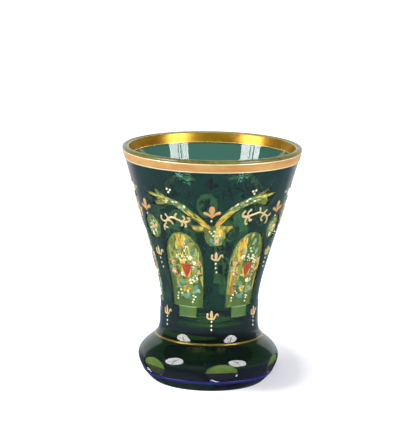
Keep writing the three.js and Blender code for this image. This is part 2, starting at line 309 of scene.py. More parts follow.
def buildFloor():
    # White paper. Its own glow, seen by the camera and through the glass, grows with the distance,
    # so that the backdrop is clean white and only the shadow by the foot shows; kept low there, the glow
    # paints part of that shadow.
    finish = Finish("paleFloor")
    seen, through, mirrored = (finish.ray(kind) for kind in ("Camera", "Transmission", "Glossy"))
    place = finish.place()
    away = finish.vector("SUBTRACT", place, studio["paintedShadowMiddle"])
    away = finish.vector("MULTIPLY", away, studio["glowStretch"])
    far = finish.vector("LENGTH", away, out="Value")
    stops = [(at, (*(level * c for c in studio["glowTint"]), 1)) for at, level in studio["glow"]]
    glow = finish.ramp(far * (1 / studio["glowReach"]), *stops)
    glow = finish.blend(through, glow, grey(studio["glowThrough"]))
    # Painted shade: what the glass mirrors of the floor is darker by the foot and just in front of it
    far = finish.vector("LENGTH", place, out="Value") * (1 / studio["dimReach"])
    mirroredShade = finish.ramp(far, *zip(studio["dimTurn"], (studio["paintedFloorShade"], studio["paintedFrontShade"])))
    paper = studio["floorColour"]
    front = finish.blend(behind(finish, place, *studio["floorTurn"]), mirroredShade, paper)
    colour = finish.blend(mirrored, paper, front)
    colour = finish.blend(seen, colour, studio["paper"])
    colour = finish.blend(through, colour, studio["paperThrough"])
    plain = finish.node("BsdfDiffuse", sockets={"Color": colour})
    light = finish.node("Emission", sockets={"Color": glow, "Strength": 1.0})
    lit = finish.node("AddShader", sockets={0: plain, 1: light})
    finish.show(finish.mixed(seen.maths("MAXIMUM", through), plain, lit))
    mesh = bpy.data.meshes.new("floor")
    half = studio["floorHalf"]
    mesh.from_pydata([(x * half, y * half, 0) for x, y in square], [], [range(4)])
    mesh.materials.append(finish.owner)
    addObject("floor", mesh)


for index, box in enumerate(studio["boxes"]):
    addSoftbox(index + 1, *box)
buildWorld()
buildFloor()
say("studio lit")


# Mesh tools

def bezier(*corners, steps=20):
    # Points on a Bezier curve: neighbouring corners are blended again and again until one is left
    t = np.linspace(0, 1, steps + 1)[:, None, None]
    p = np.repeat(np.array(corners, float)[None], steps + 1, axis=0)
    while p.shape[1] > 1:
        p = p[:, :-1] * (1 - t) + p[:, 1:] * t
    return p[:, 0]


def chained(curves):
    # Curves that meet end to end, each with its steps, as one line
    runs = [bezier(*corners, steps=steps) for steps, *corners in curves]
    return np.concatenate([runs[0], *(run[1:] for run in runs[1:])])


def spline(points, steps):
    # Catmull-Rom curve through the points: each span blends its two ends and their neighbours
    p = np.array(points, float)
    p = np.concatenate([2 * p[:1] - p[1:2], p, 2 * p[-1:] - p[-2:-1]])
    spans = len(p) - 3
    u = np.linspace(0, spans, steps + 1)
    k = np.minimum(u.astype(int), spans - 1)
    t = (u - k)[:, None]
    a, b, c, d = p[k], p[k + 1], p[k + 2], p[k + 3]
    return 0.5 * (2 * b + (c - a) * t + (2 * a - 5 * b + 4 * c - d) * t**2 + (3 * b - a - 3 * c + d) * t**3)


def lengthAlong(line):
    # Distance along a line at each of its points
    return np.concatenate([[0], np.cumsum(np.linalg.norm(np.diff(line, axis=0), axis=1))])


def unit(rows):
    # Each row divided by its own length
    return rows / np.maximum(np.linalg.norm(rows, axis=1)[:, None], 1e-12)


def skin(rows, loop=False):
    # Rows of points, each closed on itself, joined into a closed skin of triangles:
    # the rows close into a ring, or a fan to the middle of the first and last row caps them.
    # Leading axes, if any, hold separate skins of the same layout. Faces end up pointing outwards.
    rows = np.asarray(rows, float)
    rows = rows.reshape(-1, *rows.shape[-3:])
    count, n, m = rows.shape[:3]
    i = np.arange(n if loop else n - 1)[:, None]
    j = np.arange(m)[None]
    a, b = i * m + j, i * m + (j + 1) % m
    c, d = (i + 1) % n * m + (j + 1) % m, (i + 1) % n * m + j
    faces = [np.stack([a, b, c], -1).reshape(-1, 3), np.stack([a, c, d], -1).reshape(-1, 3)]
    points = rows.reshape(count, n * m, 3)
    if not loop:
        j = np.arange(m)
        first, last, top = np.full(m, n * m), np.full(m, n * m + 1), (n - 1) * m
        faces += [np.stack([first, (j + 1) % m, j], -1), np.stack([last, top + j, top + (j + 1) % m], -1)]
        points = np.concatenate([points, rows[:, 0].mean(1)[:, None], rows[:, -1].mean(1)[:, None]], 1)
    faces = np.concatenate(faces)
    corner = points[:, faces]
    volume = np.einsum("kfi,kfi->k", corner[:, :, 0], np.cross(corner[:, :, 1], corner[:, :, 2]))
    size = points.shape[1]
    faces = np.stack([faces if v > 0 else faces[:, ::-1] for v in volume])
    faces = faces + (np.arange(count) * size)[:, None, None]
    return points.reshape(-1, 3), faces.reshape(-1, 3)


def joined(parts):
    # Several (points, faces) lists as one
    starts = np.cumsum([0] + [len(points) for points, _ in parts])
    points = np.concatenate([points for points, _ in parts])
    return points, np.concatenate([faces + start for (_, faces), start in zip(parts, starts)])


def addPiece(name, shape, finish, node=None, sharp=0, normals=None, colours=None, joint=None):
    # A mesh that rides on the goblet and stands for the CAD node, if one is named
    points, faces = shape
    mesh = bpy.data.meshes.new(name)
    mesh.from_pydata((points * mm).tolist(), [], faces.tolist())
    mesh.shade_smooth()
    if sharp:
        mesh.set_sharp_from_angle(angle=math.radians(sharp))
    if normals is not None:
        mesh.normals_split_custom_set(normals.tolist())
    if joint is not None:
        joint = np.repeat(joint, 4)
    for kind, domain, values in (("paint", "POINT", colours), ("joint", "CORNER", joint)):
        if values is not None:
            layer = mesh.color_attributes.new(kind, "FLOAT_COLOR", domain)
            layer.data.foreach_set("color", values.astype(np.float32).ravel())
    mesh.materials.append(finish)
    piece = addObject(name, mesh)
    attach(piece, "root")
    if node:
        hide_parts(node)
    return piece


# Form of the glass, the same as the solid's

glass = {
    "height": 120,
    "rimRadius": 45.05,
    "lipDrop": 1.2,
    "coneSlope": 0.2815,
    "neckRadius": 24.82,
    "neckLow": 32.3,
    "neckHigh": 36,
    "flareTop": 58,
    "bulgeRadius": 35.45,
    "rimWall": 3.1,
    "footCurves": [  # steps, then the control points (radius, height), from the base up to the waist
        (28, (26.5, 0), (28.9, 0), (35.45, 7.7), (35.45, 13.4)),
        (16, (35.45, 13.4), (35.45, 14.7), (34.6, 18.2), (28.9, 22.1)),
        (16, (28.9, 22.1), (26, 24.1), (24.82, 26.2), (24.82, 32.3)),
    ],
    "cavityCurves": [  # the lower inside, from the straight cone down to the bottom
        (12, (23.6, 56), (20.2, 46), (20.2, 41)),
        (20, (20.2, 41), (20.2, 31), (14, 28), (0, 28)),
    ],
    "cavityEnd": (0.02, 28),  # a hair off the axis, where the fan that caps it starts
    "recessCurve": (14, (0.02, 1.2), (11.4, 1.2), (19, 0)),
    "casing": 0.6,
    "overlap": 0.02,  # the two glasses run into each other by this much, so that they read as one
    "casingBottom": 0.9,
    "casingTop": 113.9,
    "bevel": 0.3,  # slant of every cut edge through the casing
    "turns": 300,  # columns round the vessel
    "sheetScale": 35.0,  # millimetres of the unrolled casing for one radian
    "sheetColumns": 181,
    "cutStep": 0.6,  # longest side along a cut
}
widest = glass["height"] - glass["lipDrop"]


def outerOutline():
    # Foot, waist, neck, flare and straight cone, from the edge of the base to the widest ring
    neck, rim, slope = glass["neckRadius"], glass["rimRadius"], glass["coneSlope"]
    top, meets = glass["neckHigh"], widest - (rim - neck) / slope
    flare = (rim - slope * (widest - glass["flareTop"]), glass["flareTop"])
    upper = [
        (3, (neck, glass["neckLow"]), (neck, top)),
        (14, (neck, top), (neck, meets), flare),
        (30, flare, (rim, widest)),
    ]
    return chained(glass["footCurves"] + upper)


def innerOutline():
    # From the widest ring over the lip, down the cone and round the bottom of the cavity
    rim, top, curves = glass["rimRadius"], glass["height"], glass["cavityCurves"]
    bore, crest = rim - glass["rimWall"], rim - glass["rimWall"] / 2
    lip = [
        (8, (rim, widest), (rim, top - 0.4), (rim - 0.8, top), (crest, top)),
        (8, (crest, top), (bore + 0.8, top), (bore, top - 0.3), (bore, widest)),
        (24, (bore, widest), curves[0][1]),
    ]
    return chained(lip + curves)


def normalsAlong(line):
    # Outward normals of a line of (radius, height) points: a step (dr, dz) turned to (dz, -dr)
    way = unit(np.gradient(line, axis=0))
    return np.stack([way[:, 1], -way[:, 0]], 1)


outer = outerOutline()
outerNormals = normalsAlong(outer)
outerLength = lengthAlong(outer)


def wallRadius(z):
    # Radius of the outline at that height
    return np.interp(z, outer[:, 1], outer[:, 0])


def wallNormal(z):
    # The outline's normal at that height: its part outwards, then its part upwards
    return (np.interp(z, outer[:, 1], outerNormals[:, i]) for i in (0, 1))


def aroundAxis(angle, radius, z):
    # (r sin a, -r cos a, z): angle 0 is the front, -Y, and grows towards +X
    return np.stack(np.broadcast_arrays(radius * np.sin(angle), -radius * np.cos(angle), z), -1)


def onWall(angle, z, lift):
    # The wall at that height, moved along its own normal
    nr, nz = wallNormal(z)
    return aroundAxis(angle, wallRadius(z) + nr * lift, z + nz * lift)


def roundTurns():
    # Evenly spaced angles, one for each column round the vessel
    return np.linspace(0, 2 * np.pi, glass["turns"], endpoint=False)[None]


def lathe(line):
    # A closed line of (radius, height) points turned round the axis into a ring
    return skin(aroundAxis(roundTurns(), line[:, :1], line[:, 1:]), True)


# What is cut through the casing

windows = {
    "turns": [-89, -30, 34.5, 93, 152, 211],
    "halfAngle": 19.8,
    "bottom": 41.9,
    "spring": 65,
    "top": 81.6,
    "plinthHalfAngle": 11.8,
    "plinthBottom": 36.6,
    "deeper": 0.2,  # the lights lie this much lower than their plinths
}

medallions = {
    "winged": [0, 120, 240],
    "plain": [60, 180, 300],
    "height": 80.3,
    "discRadius": 5.65,
    "ovalWidth": 12.8,
    "ovalHeight": 12.6,
    "ovalMiddle": 82.3,
    "wingRadius": 38.5,
    "lowest": 72,  # the discs, the ovals and the wings lie between these heights
    "highest": 106,
}

footOvals = {
    "turns": [8, 68, 128, 188, 248, 304],
    "width": 17.4,
    "height": 9.9,
    "middle": 10.9,
    "dip": 0.5,  # the wheel leaves them hollow by this much
    "edge": 11,  # painted light on them above this height, painted shade below
}


def windowOutline():
    # Arched light on its plinth, in degrees across and millimetres up
    w = windows
    half, foot, bottom = w["halfAngle"], w["plinthHalfAngle"], w["bottom"]
    t = np.linspace(0, np.pi, 40)
    arch = np.stack([half * np.cos(t), w["spring"] + (w["top"] - w["spring"]) * np.sin(t)], 1)
    side = np.array([(foot, w["plinthBottom"]), (foot, bottom), (half, bottom)])
    return np.concatenate([side, arch, side[::-1] * (-1, 1)])


def ovalOutline(z, width, height, radius=None):
    # Ellipse: half the width x cos t across, as an angle on the wall, half the height x sin t up
    t = np.linspace(0, 2 * np.pi, 72, endpoint=False)
    across = np.degrees(width / 2 * np.cos(t) / (radius or wallRadius(z)))
    return np.stack([across, z + height / 2 * np.sin(t)], 1)


# Each wing starts inside the disc, rises as a band, ends in three pointed leaves and comes back along
# its underside to the leaf at the disc's corner: millimetres across at the wing radius, and height
wings = [
    [
        (-1.4, 84.2), (-2.8, 85.7), (-5.2, 87.6), (-7.7, 89.8), (-10.1, 91.8), (-12.5, 93.7),
        (-14.9, 95.5), (-17.7, 97.1), (-20.8, 98.4), (-24.3, 99.5), (-27, 100.6), (-30.2, 102.3),
        (-33.3, 104.1), (-32.7, 102.4), (-31.3, 100.6), (-34.7, 100.9), (-40.2, 100.1), (-37.4, 99.4),
        (-34.5, 98.8), (-31.2, 97.3), (-33.2, 96.3), (-35.2, 94.9), (-32.1, 94.4), (-28.6, 94.7),
        (-25.2, 95.4), (-22, 95.3), (-19.7, 93.9), (-17.6, 92.5), (-15.6, 91), (-13.6, 89.6),
        (-11.7, 88.3), (-9.7, 87.2), (-7.9, 86.3), (-14, 85.7), (-12.5, 83.4), (-10.3, 81.9),
        (-6.6, 82.3), (-4, 80.5),
    ],
    [
        (-0.4, 84.2), (-1, 85.7), (0.8, 88.5), (2.6, 90.9), (4.5, 93), (6.5, 94.9), (8.8, 96.7),
        (11.2, 98.1), (13.9, 99.4), (17, 100.5), (20, 101.5), (22.9, 102.8), (25.7, 103.8), (28.9, 104.5),
        (27.5, 102.8), (25.9, 101.5), (29.2, 101.6), (34, 101.2), (30.8, 99.9), (27.6, 98.9),
        (28.6, 97.4), (29.2, 95.9), (27, 95.1), (24, 96), (21.3, 96.6), (19, 96.6), (17, 95.9),
        (14.7, 95.1), (12.6, 94.2), (10.8, 93.2), (9.3, 92), (7.5, 90.2), (5.6, 88.5), (3.9, 87.1),
        (3, 86.3), (4.2, 86), (10.3, 86.1), (8.9, 83.6), (7.1, 82), (5.5, 81.3), (3.5, 80.5),
    ],
]


def cutOutlines():
    # Every cut as (turn, outline)
    m, f = medallions, footOvals
    disc = ovalOutline(m["height"], 2 * m["discRadius"], 2 * m["discRadius"])
    oval = ovalOutline(m["ovalMiddle"], m["ovalWidth"], m["ovalHeight"])
    foot = ovalOutline(f["middle"], f["width"], f["height"], glass["bulgeRadius"])
    degree = math.degrees(1 / m["wingRadius"])
    winged = [disc, *(np.array(wing) * [degree, 1] for wing in wings)]
    cuts = [(turn, windowOutline()) for turn in windows["turns"]] + [(turn, oval) for turn in m["plain"]]
    cuts += [(turn, line) for turn in m["winged"] for line in winged]
    return cuts + [(turn, foot) for turn in f["turns"]]


def degreesFrom(turn, angle):
    # How far an angle is from a turn, between -180 and 180 degrees
    return (np.degrees(angle) - turn + 180) % 360 - 180


def finer(line, longest):
    # Splits the sides of a closed line until none is longer than that
    ends = np.roll(line, -1, axis=0)
    counts = np.maximum(1, np.ceil(np.linalg.norm(ends - line, axis=1) / longest).astype(int))
    start = np.repeat(np.arange(len(line)), counts)
    step = np.arange(len(start)) - np.repeat(np.cumsum(counts) - counts, counts)
    share = (step / counts[start])[:, None]
    return line[start] * (1 - share) + ends[start] * share


def inside(points, line):
    # Counts how often a level ray from each point crosses the closed line: odd is inside
    found = np.zeros(len(points), bool)
    near = ((points >= line.min(0)) & (points <= line.max(0))).all(1)
    p = points[near][:, None]
    a, b = line[None], np.roll(line, -1, axis=0)[None]
    spans = (a[..., 1] > p[..., 1]) != (b[..., 1] > p[..., 1])
    rise = np.where(b[..., 1] == a[..., 1], 1, b[..., 1] - a[..., 1])
    cross = a[..., 0] + (p[..., 1] - a[..., 1]) * (b[..., 0] - a[..., 0]) / rise
    found[near] = (spans & (p[..., 0] < cross)).sum(1) % 2 == 1
    return found


def loopEdges(count, start):
    # Each point of a closed line paired with the next one
    index = np.arange(count)
    return np.stack([index, np.roll(index, -1)], 1) + start


def casingSheet():
    # The wall is unrolled, angle across and length along the outline up, and filled with triangles
    # that follow every cut. Those in a cut are left out. Gives flat points and faces.
    scale = glass["sheetScale"]
    half = math.pi * scale
    low, high = np.interp([glass["casingBottom"], glass["casingTop"]], outer[:, 1], outerLength)
    rows = outerLength[(outerLength > low + 0.2) & (outerLength < high - 0.2)]
    u, v = np.meshgrid(np.linspace(-half, half, glass["sheetColumns"]), [low, *rows, high])
    lines = []
    for turn, line in cutOutlines():
        up = np.interp(line[:, 1], outer[:, 1], outerLength)
        for whole in (-360, 0, 360):
            bent = np.radians(line[:, 0] + turn + whole) * scale
            if bent.min() <= half and bent.max() >= -half:
                lines.append(finer(np.stack([bent, up], 1), glass["cutStep"]))
    frameLine = np.array([(-half, low), (half, low), (half, high), (-half, high)])
    starts = u.size + np.cumsum([0] + [len(line) for line in lines])
    edges = [loopEdges(len(line), start) for line, start in zip([*lines, frameLine], starts)]
    points = np.concatenate([np.stack([u.ravel(), v.ravel()], 1), *lines, frameLine])
    sheet = delaunay_2d_cdt([Vector(p) for p in points], np.concatenate(edges).tolist(), [], 0, 1e-4, False)
    flat, faces = np.array([tuple(p) for p in sheet[0]]), np.array(sheet[2])
    middle = flat[faces].mean(1)
    keep = (np.abs(middle[:, 0]) < half) & (middle[:, 1] > low) & (middle[:, 1] < high)
    for line in lines:
        keep &= ~inside(middle, line)
    # The two upright sides of the sheet are the same line on the glass
    leftSide, rightSide = (np.flatnonzero(np.abs(flat[:, 0] + side) < 1e-3) for side in (half, -half))
    leftSide = leftSide[np.argsort(flat[leftSide, 1])]
    same = np.arange(len(flat))
    same[rightSide] = leftSide[np.abs(flat[rightSide, 1][:, None] - flat[leftSide, 1]).argmin(1)]
    faces = same[faces[keep]]
    faces = faces[(faces != np.roll(faces, 1, axis=1)).all(1)]
    used, faces = np.unique(faces, return_inverse=True)
    return flat[used], faces.reshape(-1, 3)


def casingShape():
    # The sheet is wrapped round twice, as the outer skin and as the inner skin one casing thickness
    # below it, and slanted walls join the two along every cut.
    flat, faces = casingSheet()
    angle = flat[:, 0] / glass["sheetScale"]
    z = np.interp(flat[:, 1], outerLength, outer[:, 1])
    normal = aroundAxis(angle, *wallNormal(z))
    top = onWall(angle, z, 0.0)

    def facing(a, b, c):
        return np.cross(b - a, c - a)

    wrong = np.einsum("ij,ij->i", facing(*top[faces.T]), normal[faces[:, 0]]) < 0
    faces[wrong] = faces[wrong][:, ::-1]
    # Edges that only one triangle uses run along the cuts and the two ends
    sides = np.concatenate([faces[:, [0, 1]], faces[:, [1, 2]], faces[:, [2, 0]]])
    key = np.sort(sides, 1) @ [len(flat), 1]
    _, first, times = np.unique(key, return_index=True, return_counts=True)
    a, b = sides[first[times == 1]].T
    away = np.cross(top[b] - top[a], normal[a])
    away /= np.linalg.norm(away, axis=1)[:, None]
    lean = np.zeros_like(top)
    for end in (a, b):
        np.add.at(lean, end, away)
    length = np.linalg.norm(lean, axis=1)[:, None]
    lean = np.where(length > 0, lean / np.maximum(length, 1e-9), 0)
    lean /= np.maximum(length / 2, 0.6)  # sharper corners reach a little further
    lean[(z < glass["casingBottom"] + 0.01) | (z > glass["casingTop"] - 0.01)] = 0
    bottom = onWall(angle, z, -glass["casing"]) + lean * glass["bevel"]
    n = len(top)
    walls = np.concatenate([np.stack([b, a, a + n], 1), np.stack([b, a + n, b + n], 1)])
    points = np.concatenate([top, bottom])
    # Normals: the glass's own on both skins, and each wall's own along the cuts
    skins = normal[faces].reshape(-1, 3), -normal[faces[:, ::-1]].reshape(-1, 3)
    normals = np.concatenate([*skins, np.repeat(unit(facing(*points[walls.T])), 3, axis=0)])
    count = len(faces)
    faces = np.concatenate([faces, faces[:, ::-1] + n, walls])
    joint = np.zeros(faces.shape)
    joint[count : 2 * count] = 1
    return (points, faces), normals, joint


def inCuts(angle, z, cuts):
    # Which points of a grid round the wall lie in one of these cuts
    up = np.broadcast_to(z, (len(z), angle.shape[1]))
    found = np.zeros(up.shape, bool)
    for turn, line in cuts:
        across = np.broadcast_to(degreesFrom(turn, angle), up.shape)
        found |= inside(np.stack([across.ravel(), up.ravel()], 1), line).reshape(up.shape)
    return found


def sunk(angle, z):
    # How far each point lies below the wall: the windows' lights a little, and each foot oval
    # like a shallow dish
    sink = np.zeros((len(z), angle.shape[1]))
    w, f = windows, footOvals
    for turn in w["turns"]:
        x = np.abs(degreesFrom(turn, angle)) / w["halfAngle"]
        roof = w["spring"] + (w["top"] - w["spring"]) * np.sqrt(np.clip(1 - x**2, 0, 1))
        light = np.clip((z - w["bottom"]) / 0.1 + 0.5, 0, 1) * np.clip(roof - z, 0, 1) * (x < 1)
        sink = np.maximum(sink, w["deeper"] * light)
    for turn in f["turns"]:
        x = np.radians(degreesFrom(turn, angle)) * glass["bulgeRadius"] / (f["width"] / 2)
        y = (z - f["middle"]) / (f["height"] / 2)
        sink = np.maximum(sink, f["dip"] * np.clip(1 - x**2 - y**2, 0, 1))
    return sink


def coreShape():
    # Solid foot and walls under the casing, with the bare lip and the bare edge of the base.
    # Where the casing lies on it the two glasses are one, which the joint attribute tells the finish.
    bottom, top = glass["casingBottom"], glass["casingTop"]
    below = outer - outerNormals * (glass["casing"] - glass["overlap"])
    # The outline's rows by the casing's two ends give way to rows at its exact ends
    side = below[(below[:, 1] > bottom + 0.15) & (below[:, 1] < top - 0.1)]
    rows = np.array([bottom, *coreRows, *wingRows, top])
    side = np.concatenate([side, np.stack([np.interp(rows, below[:, 1], below[:, 0]), rows], 1)])
    side = side[np.argsort(side[:, 1])]
    low, high = bottom - 0.05, top + 0.05
    steps, *recess = glass["recessCurve"]
    foot = [*bezier(*recess, steps=steps), *outer[outer[:, 1] < low], (wallRadius(low), low)]
    lip = [(wallRadius(high), high), (glass["rimRadius"], widest), *innerOutline()[1:-1]]
    line = np.array([*foot, *side, *lip, glass["cavityEnd"]])
    isSide = np.zeros(len(line), bool)
    isSide[len(foot) : len(foot) + len(side)] = True
    angle, radius, z = roundTurns(), line[:, :1], line[:, 1:]
    sink = np.where(isSide[:, None], sunk(angle, z), 0)
    points, faces = skin(aroundAxis(angle, radius - sink, z + 0 * angle))
    bare = inCuts(angle, z, cutOutlines()) | ~isSide[:, None]
    covered = np.concatenate([~bare.ravel(), [False, False]])
    return (points, faces), veil(angle, z, isSide), covered[faces]


def veil(angle, z, isSide):
    # Colour of each point of the side, and how matt it is: the wheel left a fine bloom in the cuts.
    # It reaches a little under the casing round each cut. Along the lower edges it is a painted highlight,
    # and on the foot ovals it is painted light above their middle and painted shade below it.
    look = np.zeros((len(z), angle.shape[1], 4))
    w, f, m = windows, footOvals, medallions
    bottom, low = w["bottom"], w["plinthBottom"]
    for turn in w["turns"]:
        away = np.abs(degreesFrom(turn, angle))
        light, plinth = away < w["halfAngle"] + 1, away < w["plinthHalfAngle"] + 1
        look[light & (z > bottom) & (z < w["top"] + 1)] = bloomAndPaintedLight["window"]
        look[plinth & (z > low - 1) & (z <= bottom)] = bloomAndPaintedLight["plinth"]
        # Painted highlight: pale strips along the bottoms of the lights and the plinths
        look[light & (z > bottom) & (z < bottom + 0.4)] = bloomAndPaintedLight["edge"]
        look[plinth & (z > low - 0.1) & (z < low + 0.5)] = bloomAndPaintedLight["edge"]
    for turn in f["turns"]:
        near = np.abs(degreesFrom(turn, angle)) < math.degrees(f["width"] / 2 / glass["bulgeRadius"]) + 1.5
        near = near & (np.abs(z - f["middle"]) < f["height"] / 2 + 0.6)
        # Painted light above the ovals' middle, painted shade below it
        look[near & (z > f["edge"])] = bloomAndPaintedLight["oval"]
        look[near & (z <= f["edge"])] = bloomAndPaintedLight["shade"]
    high = [cut for cut in cutOutlines() if cut[1][:, 1].max() > w["top"] + 1]
    look[(z > m["lowest"]) & (z < m["highest"]) & inCuts(angle, z, high)] = bloomAndPaintedLight["wing"]
    look[..., 3] *= np.where(np.abs(degreesFrom(0, angle)) > backFrom, backBloom, 1)
    look[~isSide] = 0
    return np.concatenate([look.reshape(-1, 4), np.zeros((2, 4))])  # with the two middle points of the skin


# Glass

glassLooks = {
    "index": 1.5,
    "casingTint": (0.065, 0.19, 0.17),  # light left after the casing's thickness
    "paleTint": (0.935, 0.953, 0.8),  # light left after the next length of the pale glass
    "paleLength": 2.3,
    "waviness": 0.01,
    "stain": (0.86, 0.76, 0.3, 1),  # amber stain in the cuts of the bowl
    "stainDeep": (0.62, 0.58, 0.16, 1),  # the same where it is thicker
    "footShade": (0.15, 0.38, 0.9, 1),  # the casing is thicker on the foot
    "paintedShadeTint": (0.46, 0.38, 1.0, 1),  # painted shade: below the middle of the ovals the foot's glass is tinted violet black
    "paintedFootGreen": srgb(6, 30, 19),  # painted light: a diffuse dark green coat stands in for the green light seen through the foot
    # painted shade: the coat is violet black below the ovals' middle
    "paintedShadeCoat": srgb(30, 24, 44),
    "paintedFootShare": 0.34,
    "lipPaintedGold": srgb(100, 98, 40),  # painted light: olive gold over the edge of the lip, for the gilding seen lit through it
    "lipGoldFrom": 118.3,
    # Heights in decimetres, since a ramp runs from 0 to 1
    "shadeEnds": (0.22, 0.27),
    "paintedFootAt": (0.04, 0.07, 0.2, 0.26),  # it starts, is full, is still full, is gone
    "stainStarts": (0.33, 0.37),
    "ovalTurn": 0.004,  # half the height over which the painted shade gives way to the foot's tint
    "bodyTurn": 0.003,
}
coreRows = (10.9, 11.1, 36.65, 37.05, 37.15, 41.8, 41.95, 42.25, 42.35)  # where the bloom changes
wingRows = np.arange(74, 106, 0.8)  # closer together where the medallions and wings are cut
bloomAndPaintedLight = {  # colour, and the share of the surface that is matt; edge, oval and shade are painted light and shade
    "window": (*srgb(88, 108, 30)[:3], 0.42),
    "plinth": (*srgb(74, 108, 42)[:3], 0.75),
    # painted highlight along the lower edges
    "edge": (*srgb(138, 156, 110)[:3], 0.9),
    # painted light on the upper halves of the foot ovals, painted shade on the lower halves
    "oval": (*srgb(78, 104, 28)[:3], 0.85),
    "shade": (*srgb(22, 17, 34)[:3], 0.8),
    "wing": (*srgb(106, 118, 36)[:3], 0.45),
}
backBloom = 0.3  # the cuts at the back were left clearer: this much of the share
backFrom = 105  # degrees from the front


def absorbing(finish, left, through):
    # Beer's law: colour and density that leave that share of each colour after that length
    fade = -np.log(np.array(left)) / (through * mm)
    density = float(fade.max())
    colour = (*(1 - fade / density).tolist(), 1)
    return finish.node("VolumeAbsorption", sockets={"Color": colour, "Density": density})


def glassSurface(finish, tint):
    # Clear gloss, and where the two glasses are fused a joint that neither bends nor mirrors light
    wave, drawn = finish.noise(38, 2), finish.noise(90, 3, (1, 1, 0.25))
    clear = finish.principled(
        Base_Color=tint,
        Roughness=0.0,
        IOR=glassLooks["index"],
        Transmission_Weight=1.0,
        Normal=finish.bump(wave + drawn * 0.3, glassLooks["waviness"], 1.0),
    )
    joint = finish.principled(Base_Color=white, Roughness=0.0, IOR=1.0, Transmission_Weight=1.0)
    return finish.mixed(finish.attribute("joint", "Fac") > 0.5, clear, joint)


def greenGlassFinish():
    # Darker glass on the foot, with painted shade below the middle of its ovals, and a diffuse coat over
    # the foot that paints its green light above that height and its shade below
    finish, look = Finish("greenGlass"), glassLooks
    z, low = finish.height() * 0.01, footOvals["edge"] * 0.01
    under, shade, some = look["paintedShadeTint"], look["footShade"], grey(look["paintedFootShare"])
    turn, bodyTurn = look["ovalTurn"], look["bodyTurn"]
    upper = zip(look["shadeEnds"], (shade, white))
    stops = [(0.0, under), (low - turn, under), (low + turn, shade), *upper]
    surface = glassSurface(finish, finish.ramp(z, *stops))
    # Painted light and shade: the coat is green above the ovals' middle and violet black below it
    body = finish.ramp(z, (low - bodyTurn, look["paintedShadeCoat"]), (low + bodyTurn, look["paintedFootGreen"]))
    share = finish.ramp(z, *zip(look["paintedFootAt"], (black, some, some, black)))
    surface = finish.mixed(share, surface, finish.principled(Base_Color=body, Roughness=0.08))
    return finish.show(surface, absorbing(finish, look["casingTint"], glass["casing"]))


def paleGlassFinish():
    # Amber stain on the bowl, brushed on unevenly, a matt bloom in the cuts with its painted light and
    # shade, and olive gold painted on the lip for the gilding seen lit through it
    finish, look = Finish("paleGlass"), glassLooks
    z = finish.height()
    deep = finish.fade(finish.noise(55, 3, (1, 1, 0.6)), 0.4, 0.62)
    stain = finish.blend(deep, look["stain"], look["stainDeep"])
    onBowl = finish.fade(z * 0.01, *look["stainStarts"])
    colour, share = finish.attribute("paint", "Color"), finish.attribute("paint", "Alpha")
    surface = glassSurface(finish, finish.blend((share > 0.05) * onBowl, white, stain))
    streaks = finish.noise(130, 3, (1, 1, 0.35))
    uneven = finish.ramp(streaks, (0.35, (0.8, 0.84, 0.8, 1)), (0.65, (1.15, 1.08, 1, 1)))
    matt = finish.principled(Base_Color=finish.blend(1.0, colour, uneven, "MULTIPLY"), Roughness=0.45)
    surface = finish.mixed(share * (finish.noise(400, 2) * 0.4 + 0.8), surface, matt)
    # Painted light: olive gold on the lip, laid on unevenly, stands in for the gilding seen lit through the
    # glass
    lipGoldShare = finish.ramp(finish.noise(240, 3), (0.3, grey(0.45)), (0.6, grey(0.85)))
    lip = finish.principled(Base_Color=look["lipPaintedGold"], Roughness=0.25)
    surface = finish.mixed((z > look["lipGoldFrom"]) * lipGoldShare, surface, lip)
    return finish.show(surface, absorbing(finish, look["paleTint"], look["paleLength"]))


greenGlass, paleGlass = greenGlassFinish(), paleGlassFinish()
shape, shades, joint = coreShape()
core = addPiece("core", shape, paleGlass, "glass_core", 35, colours=shades, joint=joint)
shape, normals, joint = casingShape()
casing = addPiece("casingGlass", shape, greenGlass, "casing", normals=normals, joint=joint)
say("glass blown and cut: %d and %d faces" % (len(core.data.polygons), len(casing.data.polygons)))


# Gilding

gilding = {
    "lift": 0.3,  # how far the gold stands proud of the glass
    "sink": 0.04,
    "motifTurns": [0, 60, 120, 180, 240, 300],
    "palmette": (91.6, -1.6),  # height of the motif's place, and its shift across
    "upperTrident": (69.7, 1.0),
    "lowerTrident": (38.3, -0.3),
    "scrollHeight": 89,
    "scrollTurns": [-30, 30, 90, 150, 210, 270],
    "dots": [  # shift across and height, in line with every palmette
        (-2.1, 88.5), (0.8, 65.8), (0.9, 63.5), (1.4, 61.2), (-0.3, 35.1), (-0.3, 33.0), (-0.3, 30.9),
    ],
    "threes": [(-0.8, 103.5), (0.9, 103.9), (0.2, 102.2)],  # dots over the wings
    "threesTurns": (-35.0, 27.4),
    "threesRadius": 40.5,
    "dot": (1.15, 0.8, 1.5, 0, 0.25, 0),  # length, width, slant, point, height, depth
    "bigDot": (1.35, 1.1, 1.0, 0, 0.25, 0),
}
bands = {  # piece: CAD node, slot, heights between which it runs, how proud it stands
    "rimBand": ("gilt_rim_outer", "matt_gilding", 113.6, 118.2, 0.2),
    "innerBand": ("gilt_rim_inner", "bright_gilding", 114.6, 119.6, 0.15),
    "waistLine": ("gilt_waist_line", "bright_gilding", 23.45, 24.15, 0.2),
    # painted light: a blue fringe of light at the foot's lower edge, laid on as a ring of blue
    "blueFringeRing": ("blue_base_line", "blue_enamel", 4.9, 6.3, 0.2),
}

